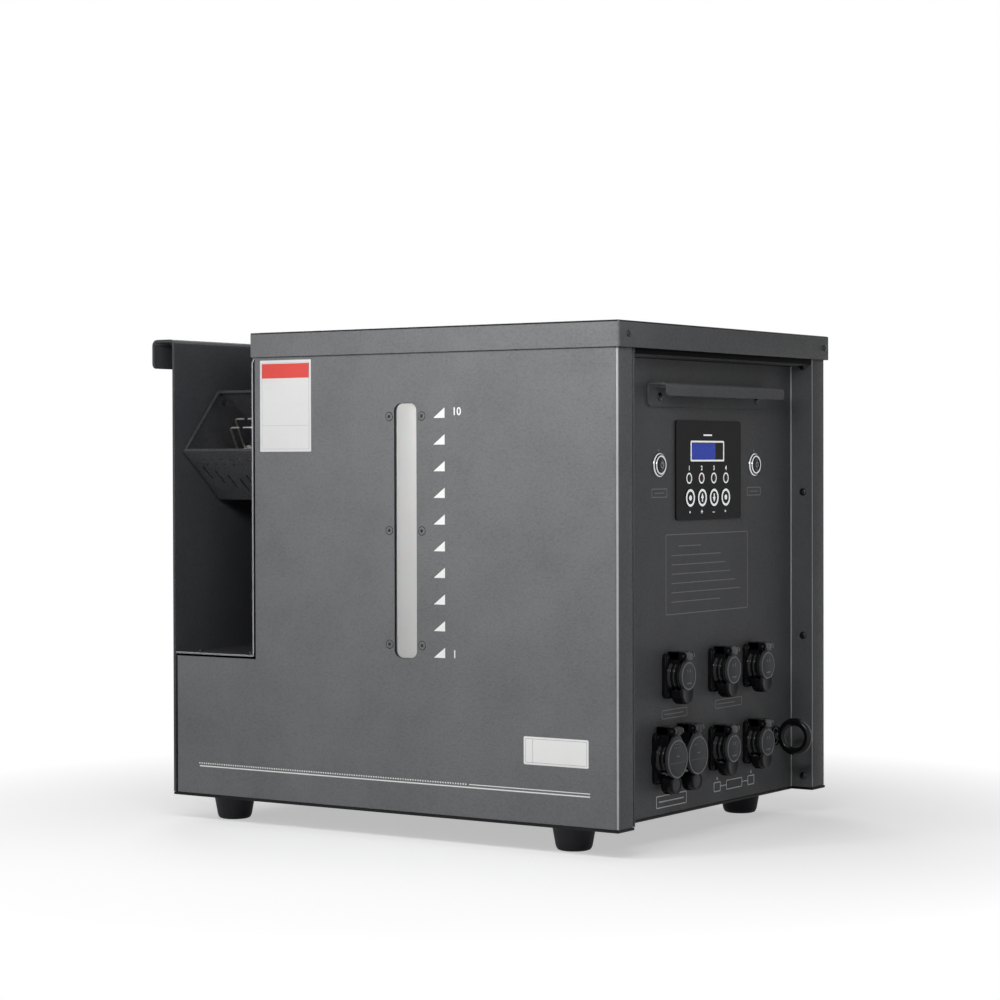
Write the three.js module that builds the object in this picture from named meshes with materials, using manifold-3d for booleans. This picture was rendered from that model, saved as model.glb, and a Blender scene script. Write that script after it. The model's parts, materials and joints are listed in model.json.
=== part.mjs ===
// A liquid-fuel flame machine for the stage: a folded steel cabinet with a tilting burner in an open bay at its
// left-hand end and a recessed control panel at its right-hand end.
// Millimetres, +Z up. X runs along the cabinet from the bay to the control panel, and Y from front to back.
import * as THREE from 'three';
import { mergeVertices } from 'three/addons/utils/BufferGeometryUtils.js';
import Module from 'manifold-3d';

const wasm = await Module();
wasm.setup();

// Driving sizes of the cabinet. Heights count from the lower edge of the folded panels.
const cabinet = {
  length: 490,
  depth: 378,
  height: 428,
  sheet: 1.5,
  bend: 2,
  flange: 25.9,
  foldback: 20,
  base: 2.4,
};
const seat = 0.3;
const overrun = 3;
const slack = 0.01;
const arcSteps = 2;
const roundSteps = 12;

const cover = { skirt: 22.5, overhang: 3.3, corner: 3.2, edge: 2.6 };
const endPlate = { sheet: 2.5, drop: 3, hookWidth: 24.8, hookDrop: 27, bend: 3.2, corner: 4.5 };
const bay = { width: 93, floorHeight: 131.8, seam: 2.4, floorSeam: 2.1, joggleRise: 4, joggleBelow: 5, joggleBend: 0.8 };
const recess = { depth: 22, topDrop: 27, topOverlap: 12, featureShift: 1.5 };
const window = {
  fromBayWall: 175.6,
  width: 22.3,
  aboveFloor: 4.1,
  belowSkirt: 44.2,
  flangeWidth: 46,
  flangeEnd: 9.3,
  flangeThickness: 3,
  setback: 0.7,
  corner: 7,
};
const foot = {
  topRadius: 20, lowRadius: 15.5, height: 23.5, rounding: 3, boreRadius: 6, boreDepth: 7,
  insetLeft: 40, insetRight: 70, insetFront: 41,
};

// Sizes of what the control panel carries. Heights count from the panel's lower edge, drops from the cabinet's top and
// shifts from the panel's middle line. The shares are of half the panel's width.
const grip = {
  width: 214, drop: 50.5, height: 20.5, lipHeight: 11.5, reach: 21, sheet: 2, bend: 2.2, corner: 4, screwInset: 19,
};
const display = {
  width: 117.7, height: 88.5, thickness: 1.5, corner: 3, drop: 126.6, rim: 4.8,
  contentShift: -2.8, lcdWidth: 61, lcdHeight: 19, lcdAbove: 17,
};
const board = { thickness: 1.6, setback: 6.2, postRadius: 2.5, postInset: 4, margin: 1.2, chipHeight: 3.4 };
const key = {
  count: 4, radius: 8, pitch: 21.4, below: 24.7, proud: 0.6, flange: 0.9, flangeThickness: 1.4, travel: 0.6, switchRadius: 3,
};
const pushButton = {
  shift: 86.5, rise: 4.7, flangeRadius: 10.8, flangeThickness: 1.6, ringRadius: 8.7, ringHeight: 1.4,
  barrelRadius: 7.7, barrelDepth: 19, plungerRadius: 6.4, plungerDepth: 12, proud: 0.5, travel: 2.5, running: 0.3,
};
const socket = {
  width: 30, height: 40, flange: 4.6, corner: 5, bodyRadius: 14.2, waistRadius: 12.5, mouthRadius: 13.4,
  boreRadius: 10.4, boreDepth: 20, ribWidth: 1.8, reach: 15.2, barrelRadius: 11.8, barrelDepth: 18, pinRadius: 2.6,
  pinHeight: 9,
  columnShares: { left: -0.4116, middle: 0.0891, right: 0.4834 }, upperRow: 121, lowerRow: 50,
};
const double = {
  width: 62, height: 45.4, pitch: 36, shiftShare: -0.4195, lidRadius: 17, pivotRise: 24.4, tabRadius: 8.4, tabDrop: 31,
};
const lid = {
  radius: 12.5, thickness: 3.2, pivotRise: 17.8, knuckleRadius: 3.5, knuckleWidth: 8, earWidth: 3.2, earGap: 0.4,
  pinRadius: 1.2, pinRunning: 0.3, tabRadius: 9.5, tabDrop: 24.5, tabThickness: 2.6, tabStandoff: 1.6, tabClearance: 1,
};
const eyebolt = {
  ringRadius: 13.9, barRadius: 3.6, centreReach: 21, collarRadius: 9, collarHeight: 5, shankRadius: 4,
  shankDepth: 16, shiftShare: 0.7801, middle: 51,
};

// Sizes of the burner, whose box turns about a cross axis in the bay. Its own +Z leaves through the open mouth.
const burner = {
  mouth: 77, depth: 70, sheet: 1.4, sideGap: 2.2, pivotSetback: 61.2, pivotDrop: 102, tilt: 49,
  rimWidth: 3, rimBend: 1.4,
};
const perforation = {
  holeRadius: 1.5, holePitch: 10.8, holeCount: 6, firstRow: 13.1, rowPitch: 7.2,
  slotWidth: 2.2, slotLength: 20, slotPitch: 11.3, slotCount: 7, slotStart: 22, slotStagger: 6,
};
const pivot = {
  stubRadius: 10, stubBore: 7.6, running: 0.3, bushWall: 2.4, bushFlange: 1, bushFlangeWidth: 4,
};
const lock = {
  outY: 34.7, outZ: 21.1, shankRadius: 2.5, slotRunning: 0.5, knobRadius: 9, knobHeight: 9, knobLobes: 6, knobWaveShare: 0.06,
};
const nozzle = {
  offset: 5, hexRadius: 7, hexHeight: 9, bodyRadius: 5, bodyHeight: 16, tipRadius: 1.8, tipHeight: 5, jetRadius: 0.6,
  pipeRadius: 2, pipeBend: 6, pipeDrop: 5, pipeAside: 20,
};
const electrode = { radius: 1, pairPitch: 11, tipGap: 4.6, shoulder: 13.5, footSpread: 27, tipDepth: 10, bend: 3, seatDepth: 7 };
const insulator = { width: 9, height: 16, endMargin: 5.5 };

// Sizes of what the closed cabinet holds.
const tank = {
  low: 100, drop: 48, wall: 3, corner: 16, fromWindow: 1.2, fromBayWall: 65, fromPanel: 66, fromBack: 222,
  outletRadius: 5, outletLength: 14, outletInset: 30,
};
const cradle = { sheet: 2, bend: 3, margin: 12, endGap: 20 };
const filler = {
  neckRadius: 22, neckBore: 19, neckRise: 4, fromTankLeft: 110, fromTankBack: 36, capRadius: 27, capRise: 6,
  capTop: 1.6, lidClearance: 1.5, lift: 30, collarRadius: 27, collarHeight: 3,
};
const pump = {
  fromBayWall: 130, fromBack: 170, shaftHeight: 48, headLength: 30, headSize: 46, motorRadius: 20, motorLength: 76,
  footWidth: 56, footThickness: 3, portRadius: 4.5, portLength: 9,
};
const valve = {
  fromBayWall: 14, fromFront: 76, lowShare: 0.5583, blockSize: 30, coilRadius: 15, coilHeight: 34, portRadius: 4.5, portLength: 8,
  stemRadius: 4, bracket: 3, bracketReach: 12,
};
const hose = { radius: 4, pipeRadius: 3, clearance: 0.4 };
const transformer = { length: 64, depth: 58, height: 96, fromBayWall: 22, fromBack: 36, bushRadius: 9, bushHeight: 14, sparkLead: 2.5 };
const supply = { length: 150, depth: 98, height: 42, fromPanel: 50, fromBack: 22, corner: 3, terminalLength: 70, terminalDepth: 16, terminalHeight: 18 };

// Places that follow from the sizes
const bayWall = endPlate.sheet + bay.width;
const bayWallBack = bayWall + cabinet.sheet;
const lidLeft = bayWall + seat;
const joggleFace = lidLeft + cabinet.sheet + seat;
const skirtLow = cabinet.height - cover.skirt;
const panelTop = cabinet.height - cabinet.sheet - seat;
const linerTop = panelTop - cover.edge + cabinet.sheet;
const floorLow = bay.floorHeight - cabinet.sheet;
const panelFace = cabinet.length - recess.depth;
const panelBack = panelFace - cabinet.sheet;
const cheekNear = cabinet.flange + seat;
const cheekFar = cabinet.depth - cheekNear;
const featureMiddle = cabinet.depth / 2 + recess.featureShift;
const panelHalf = (cheekFar - cheekNear) / 2;
const recessTop = cabinet.height - recess.topDrop;
const baseTop = -seat;
const baseLow = baseTop - cabinet.base;
const footTop = baseLow - seat;
const footLow = footTop - foot.height;
const bayMiddle = endPlate.sheet + bay.width / 2;
const mounted = panelFace + seat;
const windowLow = bay.floorHeight + window.aboveFloor;
const windowHigh = skirtLow - window.belowSkirt;
const displayMiddle = cabinet.height - display.drop;
const buttonMiddle = displayMiddle + pushButton.rise;
const pivotHeight = cabinet.height - burner.pivotDrop;
const tankX = [bayWall + tank.fromBayWall, panelBack - tank.fromPanel];
const tankY = [cabinet.sheet + seat + window.flangeThickness + tank.fromWindow, cabinet.depth - tank.fromBack];
const tankTop = cabinet.height - tank.drop;

// A length in the middle of two others
const middle = (a, b) => (a + b) / 2;

// Solids. Each function gives a closed solid that can be joined and cut.
function toSolid(geometry) {
  const bare = geometry.clone();
  bare.deleteAttribute('normal');
  bare.deleteAttribute('uv');
  const welded = mergeVertices(bare);
  const index = welded.index.array;
  const triangles = [];
  for (let i = 0; i < index.length; i += 3) {
    const [a, b, c] = [index[i], index[i + 1], index[i + 2]];
    if (a !== b && b !== c && c !== a) {
      triangles.push(a, b, c);
    }
  }
  const vertProperties = new Float32Array(welded.attributes.position.array);
  const triVerts = new Uint32Array(triangles);
  return new wasm.Manifold(new wasm.Mesh({ numProp: 3, vertProperties, triVerts }));
}

function toGeometry(solid) {
  const mesh = solid.simplify(slack).getMesh();
  const geometry = new THREE.BufferGeometry();
  geometry.setAttribute('position', new THREE.BufferAttribute(mesh.vertProperties, 3));
  geometry.setIndex(new THREE.BufferAttribute(mesh.triVerts, 1));
  geometry.computeVertexNormals();
  return geometry;
}

const join = (first, ...rest) => rest.reduce((sum, solid) => sum.add(solid), first);
const cut = (first, ...rest) => rest.reduce((left, solid) => left.subtract(solid), first);
const common = (first, second) => first.intersect(second);

// Where an outline's own two directions and its depth point in the cabinet
const bases = {
  x: [new THREE.Vector3(0, 1, 0), new THREE.Vector3(0, 0, 1), new THREE.Vector3(1, 0, 0)],
  y: [new THREE.Vector3(0, 0, 1), new THREE.Vector3(1, 0, 0), new THREE.Vector3(0, 1, 0)],
  z: [new THREE.Vector3(1, 0, 0), new THREE.Vector3(0, 1, 0), new THREE.Vector3(0, 0, 1)],
};

// An outline drawn in the plane square to an axis, as (y, z), (z, x) or (x, y), and extruded from one place on the
// axis to another.
function slab(outline, axis, from, to, steps = arcSteps) {
  const geometry = new THREE.ExtrudeGeometry(outline, {
    depth: to - from,
    bevelEnabled: false,
    curveSegments: steps,
  });
  const basis = new THREE.Matrix4().makeBasis(...bases[axis]);
  geometry.translate(0, 0, from);
  geometry.applyMatrix4(basis);
  return toSolid(geometry);
}

function block(x0, x1, y0, y1, z0, z1) {
  const geometry = new THREE.BoxGeometry(x1 - x0, y1 - y0, z1 - z0);
  geometry.translate(middle(x0, x1), middle(y0, y1), middle(z0, z1));
  return toSolid(geometry);
}

// A rectangle with rounded corners between two opposite corners
function roundedRectangle(u0, v0, u1, v1, radius) {
  const limit = Math.min(radius, (u1 - u0) / 2, (v1 - v0) / 2);
  const outline = new THREE.Shape();
  outline.absarc(u1 - limit, v0 + limit, limit, -Math.PI / 2, 0);
  outline.absarc(u1 - limit, v1 - limit, limit, 0, Math.PI / 2);
  outline.absarc(u0 + limit, v1 - limit, limit, Math.PI / 2, Math.PI);
  outline.absarc(u0 + limit, v0 + limit, limit, Math.PI, Math.PI * 1.5);
  outline.closePath();
  return outline;
}

// The outline of a folded sheet: the sheet's middle line with each corner rounded, thickened to both sides
function folded(points, thickness, bend, steps = 3) {
  const path = points.map(([u, v]) => new THREE.Vector2(u, v));
  const left = [];
  const right = [];
  const push = (centre, normal) => {
    left.push(centre.clone().addScaledVector(normal, thickness / 2));
    right.push(centre.clone().addScaledVector(normal, -thickness / 2));
  };
  const normalOf = (a, b) => {
    const along = b.clone().sub(a).normalize();
    return new THREE.Vector2(-along.y, along.x);
  };
  push(path[0], normalOf(path[0], path[1]));
  for (let i = 1; i < path.length - 1; i += 1) {
    const before = normalOf(path[i - 1], path[i]);
    const after = normalOf(path[i], path[i + 1]);
    const turn = Math.atan2(before.cross(after), before.dot(after));
    const radius = bend + thickness / 2;
    const setback = radius * Math.tan(Math.abs(turn) / 2);
    const along = path[i].clone().sub(path[i - 1]).normalize();
    const centre = path[i].clone()
      .addScaledVector(along, -setback)
      .addScaledVector(before, Math.sign(turn) * radius);
    for (let step = 0; step <= steps; step += 1) {
      const normal = before.clone().rotateAround(new THREE.Vector2(), (turn * step) / steps);
      push(centre.clone().addScaledVector(normal, -Math.sign(turn) * radius), normal);
    }
  }
  const last = path.length - 1;
  push(path[last], normalOf(path[last - 1], path[last]));
  return new THREE.Shape([...left, ...right.reverse()]);
}

// A solid of revolution: a closed profile of (radius, height) points turned about an axis through a centre
function turned(profile, axis, centre, segments) {
  const points = profile.map(([radius, height]) => new THREE.Vector2(radius, height));
  points.push(points[0].clone());
  const geometry = new THREE.LatheGeometry(points, segments);
  const up = { x: [0, 0, -Math.PI / 2], y: [0, 0, 0], z: [Math.PI / 2, 0, 0] }[axis];
  geometry.rotateX(up[0]);
  geometry.rotateZ(up[2]);
  geometry.translate(...centre);
  return outward(toSolid(geometry), geometry);
}

// A profile drawn the other way round gives a solid that is inside out, so its triangles are turned over
function outward(solid, geometry) {
  if (solid.volume() > 0) {
    return solid;
  }
  const flipped = geometry.clone();
  const index = flipped.index.array;
  for (let i = 0; i < index.length; i += 3) {
    [index[i + 1], index[i + 2]] = [index[i + 2], index[i + 1]];
  }
  return toSolid(flipped);
}

function cylinder(radius, axis, centre, from, to, segments = roundSteps) {
  return turned([[0, from], [radius, from], [radius, to], [0, to]], axis, centre, segments);
}

function prism(radius, axis, centre, from, to, sides) {
  return cylinder(radius, axis, centre, from, to, sides);
}

// A round bar or hose along straight runs with rounded corners
function bar(points, radius, bend, sides = 8, steps = 16) {
  const route = new THREE.CurvePath();
  const corners = points.map((point) => new THREE.Vector3(...point));
  let start = corners[0];
  for (let i = 1; i < corners.length - 1; i += 1) {
    const before = corners[i - 1].clone().sub(corners[i]);
    const after = corners[i + 1].clone().sub(corners[i]);
    const reach = Math.min(bend, before.length() / 2, after.length() / 2);
    const enter = corners[i].clone().addScaledVector(before.normalize(), reach);
    const leave = corners[i].clone().addScaledVector(after.normalize(), reach);
    route.add(new THREE.LineCurve3(start, enter));
    route.add(new THREE.QuadraticBezierCurve3(enter, corners[i], leave));
    start = leave;
  }
  route.add(new THREE.LineCurve3(start, corners[corners.length - 1]));
  const section = new THREE.Shape();
  for (let i = 0; i < sides; i += 1) {
    const angle = (i / sides) * Math.PI * 2;
    const [u, v] = [radius * Math.cos(angle), radius * Math.sin(angle)];
    if (i === 0) {
      section.moveTo(u, v);
    } else {
      section.lineTo(u, v);
    }
  }
  section.closePath();
  return toSolid(new THREE.ExtrudeGeometry(section, { extrudePath: route, steps, bevelEnabled: false }));
}

// Finishes
const finish = (color, roughness, metalness) => new THREE.MeshStandardMaterial({ color, roughness, metalness });
const powderCoat = () => finish('#46484a', 0.62, 0.15);
const darkCoat = () => finish('#232426', 0.7, 0.1);
const blackPlastic = () => finish('#141416', 0.35, 0);
const rubber = () => finish('#18191b', 0.8, 0);
const chrome = () => finish('#d9dbdc', 0.12, 1);
const steel = () => finish('#a9adb0', 0.35, 1);
const brass = () => finish('#b98f45', 0.3, 1);
const ceramic = () => finish('#e8e4da', 0.45, 0);
const frosted = () => finish('#c9cfd2', 0.4, 0);

const machine = new THREE.Group();

function piece(name, solid, material, parent = machine) {
  const mesh = new THREE.Mesh(toGeometry(solid), material);
  mesh.name = name;
  parent.add(mesh);
}

// The folded cabinet panels
function frontPanel() {
  const left = endPlate.sheet + bay.seam;
  const notchRight = joggleFace + cabinet.sheet + seat;
  const notchLow = floorLow - bay.floorSeam;
  const half = cabinet.sheet / 2;
  const path = [
    [left, half],
    [cabinet.length - half, half],
    [cabinet.length - half, cabinet.flange - half],
    [cabinet.length - cabinet.foldback, cabinet.flange - half],
  ];
  const sheet = slab(folded(path, cabinet.sheet, cabinet.bend), 'z', 0, panelTop);
  const notch = block(left - overrun, notchRight, -overrun, cabinet.sheet + overrun, notchLow, panelTop + overrun);
  return cut(sheet, notch, windowSlot(0, -overrun, cabinet.sheet + overrun));
}

function windowSlot(margin, from, to) {
  const middleX = bayWall + window.fromBayWall;
  const [low, high] = [windowLow + margin, windowHigh - margin];
  const half = window.width / 2 - margin;
  return slab(roundedRectangle(low, middleX - half, high, middleX + half, window.corner - margin), 'y', from, to, 6);
}

function backPanel() {
  const half = cabinet.sheet / 2;
  const far = cabinet.depth;
  const path = [
    [cabinet.length - cabinet.foldback, far - cabinet.flange + half],
    [cabinet.length - half, far - cabinet.flange + half],
    [cabinet.length - half, far - half],
    [endPlate.sheet + seat, far - half],
  ];
  const sheet = slab(folded(path, cabinet.sheet, cabinet.bend), 'z', 0, panelTop);
  const slit = block(bayWall, lidLeft + cabinet.sheet + seat * 2, far - cabinet.sheet - overrun, far + overrun,
    skirtLow - seat, panelTop + overrun);
  return cut(sheet, slit);
}

function basePlate() {
  const outline = new THREE.Shape();
  outline.moveTo(0, 0);
  outline.lineTo(cabinet.length, 0);
  outline.lineTo(cabinet.length, cheekNear);
  outline.lineTo(panelFace, cheekNear);
  outline.lineTo(panelFace, cheekFar);
  outline.lineTo(cabinet.length, cheekFar);
  outline.lineTo(cabinet.length, cabinet.depth);
  outline.lineTo(0, cabinet.depth);
  outline.closePath();
  return slab(outline, 'z', baseLow, baseTop);
}

// A tray with rounded upright corners and rounded upper edges, closed at the top
function roundedShell(x0, x1, y0, y1, low, high, corner, edge) {
  const plan = slab(roundedRectangle(x0, y0, x1, y1, corner), 'z', low, high);
  const sideOutline = roundedTop(y0, y1, low, high, edge);
  const side = slab(sideOutline, 'x', x0 - overrun, x1 + overrun);
  const endOutline = roundedSide(low, high, x0, x1, edge);
  const end = slab(endOutline, 'y', y0 - overrun, y1 + overrun);
  return common(common(plan, side), end);
}

function roundedTop(u0, u1, v0, v1, radius) {
  const outline = new THREE.Shape();
  outline.moveTo(u0, v0);
  outline.lineTo(u1, v0);
  outline.absarc(u1 - radius, v1 - radius, radius, 0, Math.PI / 2);
  outline.absarc(u0 + radius, v1 - radius, radius, Math.PI / 2, Math.PI);
  outline.closePath();
  return outline;
}

function roundedSide(u0, u1, v0, v1, radius) {
  const outline = new THREE.Shape();
  outline.moveTo(u0, v1);
  outline.lineTo(u0, v0);
  outline.absarc(u1 - radius, v0 + radius, radius, -Math.PI / 2, 0);
  outline.absarc(u1 - radius, v1 - radius, radius, 0, Math.PI / 2);
  outline.closePath();
  return outline;
}

function fillerPlace() {
  return [tankX[0] + filler.fromTankLeft, tankY[1] - filler.fromTankBack];
}

function topLid() {
  const out = cover.overhang;
  const wall = cabinet.sheet;
  const x1 = cabinet.length + out;
  const [y0, y1] = [-out, cabinet.depth + out];
  const outer = roundedShell(lidLeft, x1, y0, y1, skirtLow, cabinet.height, cover.corner, cover.edge);
  const inner = roundedShell(lidLeft + wall, x1 - wall, y0 + wall, y1 - wall, skirtLow - overrun,
    cabinet.height - wall, cover.corner - wall, cover.edge - wall);
  const [x, y] = fillerPlace();
  const hole = cylinder(filler.neckRadius + filler.lidClearance, 'z', [x, y, 0], skirtLow, cabinet.height + overrun, 28);
  return cut(outer, inner, hole);
}

function leftEndPlate() {
  const half = endPlate.sheet / 2;
  const high = cabinet.height - endPlate.drop - half;
  const out = half - endPlate.hookWidth;
  const low = cabinet.height - endPlate.drop - endPlate.hookDrop;
  const sheet = slab(folded([[0, half], [high, half], [high, out], [low, out]], endPlate.sheet, endPlate.bend, 4),
    'y', 0, cabinet.depth);
  const hook = slab(roundedFoot(0, cabinet.depth, low, cabinet.height, endPlate.corner), 'x',
    -endPlate.hookWidth - overrun, half);
  const plate = block(0, endPlate.sheet + overrun, -overrun, cabinet.depth + overrun, -overrun, cabinet.height);
  return cut(common(sheet, join(hook, plate)), bushHole(-overrun, endPlate.sheet + overrun), lockSlot());
}

function bushHole(from, to) {
  const radius = pivot.stubRadius + pivot.running + pivot.bushWall + seat;
  return cylinder(radius, 'x', [0, burner.pivotSetback, pivotHeight], from, to, 18);
}

// The curved slot in the end plate that the lock's shank runs along as the burner turns
function lockSlot() {
  const radius = Math.hypot(lock.outY, lock.outZ);
  const half = lock.shankRadius + lock.slotRunning;
  const tilt = THREE.MathUtils.degToRad(burner.tilt);
  const own = Math.atan2(lock.outZ, lock.outY);
  const margin = (lock.slotRunning * 2) / radius;
  const [start, end] = [own - margin, own + tilt + margin];
  const outline = new THREE.Shape();
  outline.absarc(0, 0, radius + half, start, end);
  outline.absarc(radius * Math.cos(end), radius * Math.sin(end), half, end, end + Math.PI);
  outline.absarc(0, 0, radius - half, end, start, true);
  outline.absarc(radius * Math.cos(start), radius * Math.sin(start), half, start + Math.PI, start + Math.PI * 2);
  outline.closePath();
  const slot = slab(outline, 'x', -overrun, endPlate.sheet + overrun, 4);
  return slot.translate([0, burner.pivotSetback, pivotHeight]);
}

function bayLiner() {
  const half = cabinet.sheet / 2;
  const floor = bay.floorHeight - half;
  const joggleFoot = skirtLow - bay.joggleBelow;
  const path = [
    [floor, endPlate.sheet + seat],
    [floor, bayWall + half],
    [joggleFoot, bayWall + half],
    [joggleFoot + bay.joggleRise, joggleFace + half],
    [linerTop, joggleFace + half],
  ];
  const sheet = slab(folded(path, cabinet.sheet, bay.joggleBend), 'y', 0, cabinet.depth - cabinet.sheet - seat);
  return cut(sheet, bushHole(bayWall - overrun, bayWallBack + overrun));
}

function controlPanel() {
  const half = cabinet.sheet / 2;
  const face = panelFace - half;
  const front = cabinet.length - seat;
  const tray = slab(folded([
    [front, cheekNear + half],
    [face, cheekNear + half],
    [face, cheekFar - half],
    [front, cheekFar - half],
  ], cabinet.sheet, cabinet.bend), 'z', 0, recessTop);
  const top = slab(folded([
    [recessTop - recess.topOverlap, face],
    [recessTop - half, face],
    [recessTop - half, front - half],
    [panelTop, front - half],
  ], cabinet.sheet, cabinet.bend), 'y', cheekNear, cheekFar);
  return cut(join(tray, top), ...panelHoles());
}

function panelHoles() {
  const through = (y, z, radius) => cylinder(radius, 'x', [0, y, z], panelBack - overrun, panelFace + overrun);
  const holes = pushButtonPlaces().map(({ y }) => through(y, buttonMiddle, pushButton.barrelRadius + seat));
  socketPlaces().forEach(({ y, z }) => holes.push(through(y, z, socket.barrelRadius + seat)));
  holes.push(through(featureMiddle + eyebolt.shiftShare * panelHalf, eyebolt.middle, eyebolt.shankRadius + seat));
  const halfWidth = display.width / 2 - display.rim;
  const halfHeight = display.height / 2 - display.rim;
  holes.push(slab(roundedRectangle(featureMiddle - halfWidth, displayMiddle - halfHeight,
    featureMiddle + halfWidth, displayMiddle + halfHeight, display.corner), 'x', panelBack - overrun, panelFace + overrun));
  return holes;
}

function panelHandle() {
  const half = grip.sheet / 2;
  const [y0, y1] = [featureMiddle - grip.width / 2, featureMiddle + grip.width / 2];
  const back = mounted + half;
  const front = mounted + grip.reach - half;
  const high = cabinet.height - grip.drop;
  const [low, lipLow] = [high - grip.height, high - grip.lipHeight];
  const path = [[low, back], [high - half, back], [high - half, front], [lipLow, front]];
  const sheet = slab(folded(path, grip.sheet, grip.bend), 'y', y0, y1);
  const turn = middle(back, front);
  const plate = slab(roundedFoot(y0, y1, low, high + overrun, grip.corner), 'x', mounted - overrun, turn);
  const lip = slab(roundedFoot(y0, y1, lipLow, high + overrun, grip.corner), 'x', turn, front + overrun);
  return common(sheet, join(plate, lip));
}

// An upright outline whose two lower corners are rounded
function roundedFoot(u0, u1, v0, v1, radius) {
  const outline = new THREE.Shape();
  outline.absarc(u0 + radius, v0 + radius, radius, Math.PI, Math.PI * 1.5);
  outline.absarc(u1 - radius, v0 + radius, radius, -Math.PI / 2, 0);
  outline.lineTo(u1, v1);
  outline.lineTo(u0, v1);
  outline.closePath();
  return outline;
}

function levelWindow() {
  const middleX = bayWall + window.fromBayWall;
  const back = cabinet.sheet + seat;
  const strip = windowSlot(seat, window.setback, back);
  const flange = slab(roundedRectangle(
    windowLow - window.flangeEnd,
    middleX - window.flangeWidth / 2,
    windowHigh + window.flangeEnd,
    middleX + window.flangeWidth / 2,
    cabinet.bend,
  ), 'y', back, back + window.flangeThickness);
  return join(strip, flange);
}

function rubberFoot(x, y) {
  const profile = [
    [foot.boreRadius, footLow],
    [foot.lowRadius - foot.rounding, footLow],
    [foot.lowRadius - foot.rounding / 3, footLow + foot.rounding / 3],
    [foot.lowRadius, footLow + foot.rounding],
    [foot.topRadius, footTop],
    [0, footTop],
    [0, footLow + foot.boreDepth],
    [foot.boreRadius, footLow + foot.boreDepth],
  ];
  return turned(profile, 'z', [x, y, 0], 16);
}

function buildCabinet() {
  piece('front_panel', frontPanel(), powderCoat());
  piece('back_panel', backPanel(), powderCoat());
  piece('base_plate', basePlate(), powderCoat());
  piece('lid', topLid(), powderCoat());
  piece('left_end_plate', leftEndPlate(), powderCoat());
  piece('bay_liner', bayLiner(), darkCoat());
  piece('control_panel', controlPanel(), powderCoat());
  piece('panel_handle', panelHandle(), powderCoat());
  piece('level_window', levelWindow(), frosted());
  const columns = { left: foot.insetLeft, right: cabinet.length - foot.insetRight };
  const rows = { front: foot.insetFront, back: cabinet.depth - foot.insetFront };
  for (const [row, y] of Object.entries(rows)) {
    for (const [column, x] of Object.entries(columns)) {
      piece(`foot_${row}_${column}`, rubberFoot(x, y), rubber());
    }
  }
}

// The display, its keys and the two push buttons
function keyPlaces() {
  const first = featureMiddle + display.contentShift - (key.pitch * (key.count - 1)) / 2;
  return Array.from({ length: key.count }, (unused, count) => (
    { y: first + key.pitch * count, z: displayMiddle - key.below }
  ));
}

function displayBezel() {
  const [halfWidth, halfHeight] = [display.width / 2, display.height / 2];
  const plate = slab(roundedRectangle(featureMiddle - halfWidth, displayMiddle - halfHeight,
    featureMiddle + halfWidth, displayMiddle + halfHeight, display.corner), 'x', mounted, mounted + display.thickness);
  const [y, z] = [featureMiddle + display.contentShift, displayMiddle + display.lcdAbove];
  const opening = slab(roundedRectangle(y - display.lcdWidth / 2, z - display.lcdHeight / 2,
    y + display.lcdWidth / 2, z + display.lcdHeight / 2, display.corner / 2), 'x',
  mounted - overrun, mounted + display.thickness + overrun);
  const holes = keyPlaces().map((place) => cylinder(key.radius + seat, 'x', [0, place.y, place.z],
    mounted - overrun, mounted + display.thickness + overrun, 14));
  return cut(plate, opening, ...holes);
}

function displayBoard() {
  const back = mounted - board.setback;
  const front = back + board.thickness;
  const inset = display.rim + board.margin;
  const [halfWidth, halfHeight] = [display.width / 2 - inset, display.height / 2 - inset];
  const sheet = block(back, front, featureMiddle - halfWidth, featureMiddle + halfWidth,
    displayMiddle - halfHeight, displayMiddle + halfHeight);
  const solids = [];
  for (const side of [-1, 1]) {
    for (const level of [-1, 1]) {
      const y = featureMiddle + side * (halfWidth - board.postInset);
      const z = displayMiddle + level * (halfHeight - board.postInset);
      solids.push(cylinder(board.postRadius, 'x', [0, y, z], front, mounted - seat, 8));
    }
  }
  const [y, z] = [featureMiddle + display.contentShift, displayMiddle + display.lcdAbove];
  const [lcdHalfWidth, lcdHalfHeight] = [display.lcdWidth / 2 - seat, display.lcdHeight / 2 - seat];
  solids.push(block(front, mounted, y - lcdHalfWidth, y + lcdHalfWidth, z - lcdHalfHeight, z + lcdHalfHeight));
  const keyBack = mounted - seat - key.flangeThickness;
  keyPlaces().forEach((place) => {
    solids.push(cylinder(key.switchRadius, 'x', [0, place.y, place.z], front, keyBack - key.travel - seat / 3, 8));
  });
  solids.push(block(back - board.chipHeight, back, featureMiddle - halfWidth / 2, featureMiddle + halfWidth / 2,
    displayMiddle - halfHeight / 2, displayMiddle + halfHeight / 2));
  return join(sheet, ...solids);
}

function panelKey({ y, z }) {
  const face = mounted + display.thickness + key.proud;
  const flangeFront = mounted - seat;
  const edge = key.flange / 2;
  const profile = [
    [0, flangeFront - key.flangeThickness],
    [key.radius + key.flange, flangeFront - key.flangeThickness],
    [key.radius + key.flange, flangeFront],
    [key.radius, flangeFront],
    [key.radius, face - edge],
    [key.radius - edge, face],
    [0, face],
  ];
  return turned(profile, 'x', [0, y, z], 14);
}

function pushButtonPlaces() {
  return [
    { name: 'left_button', y: featureMiddle - pushButton.shift },
    { name: 'right_button', y: featureMiddle + pushButton.shift },
  ];
}

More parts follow.
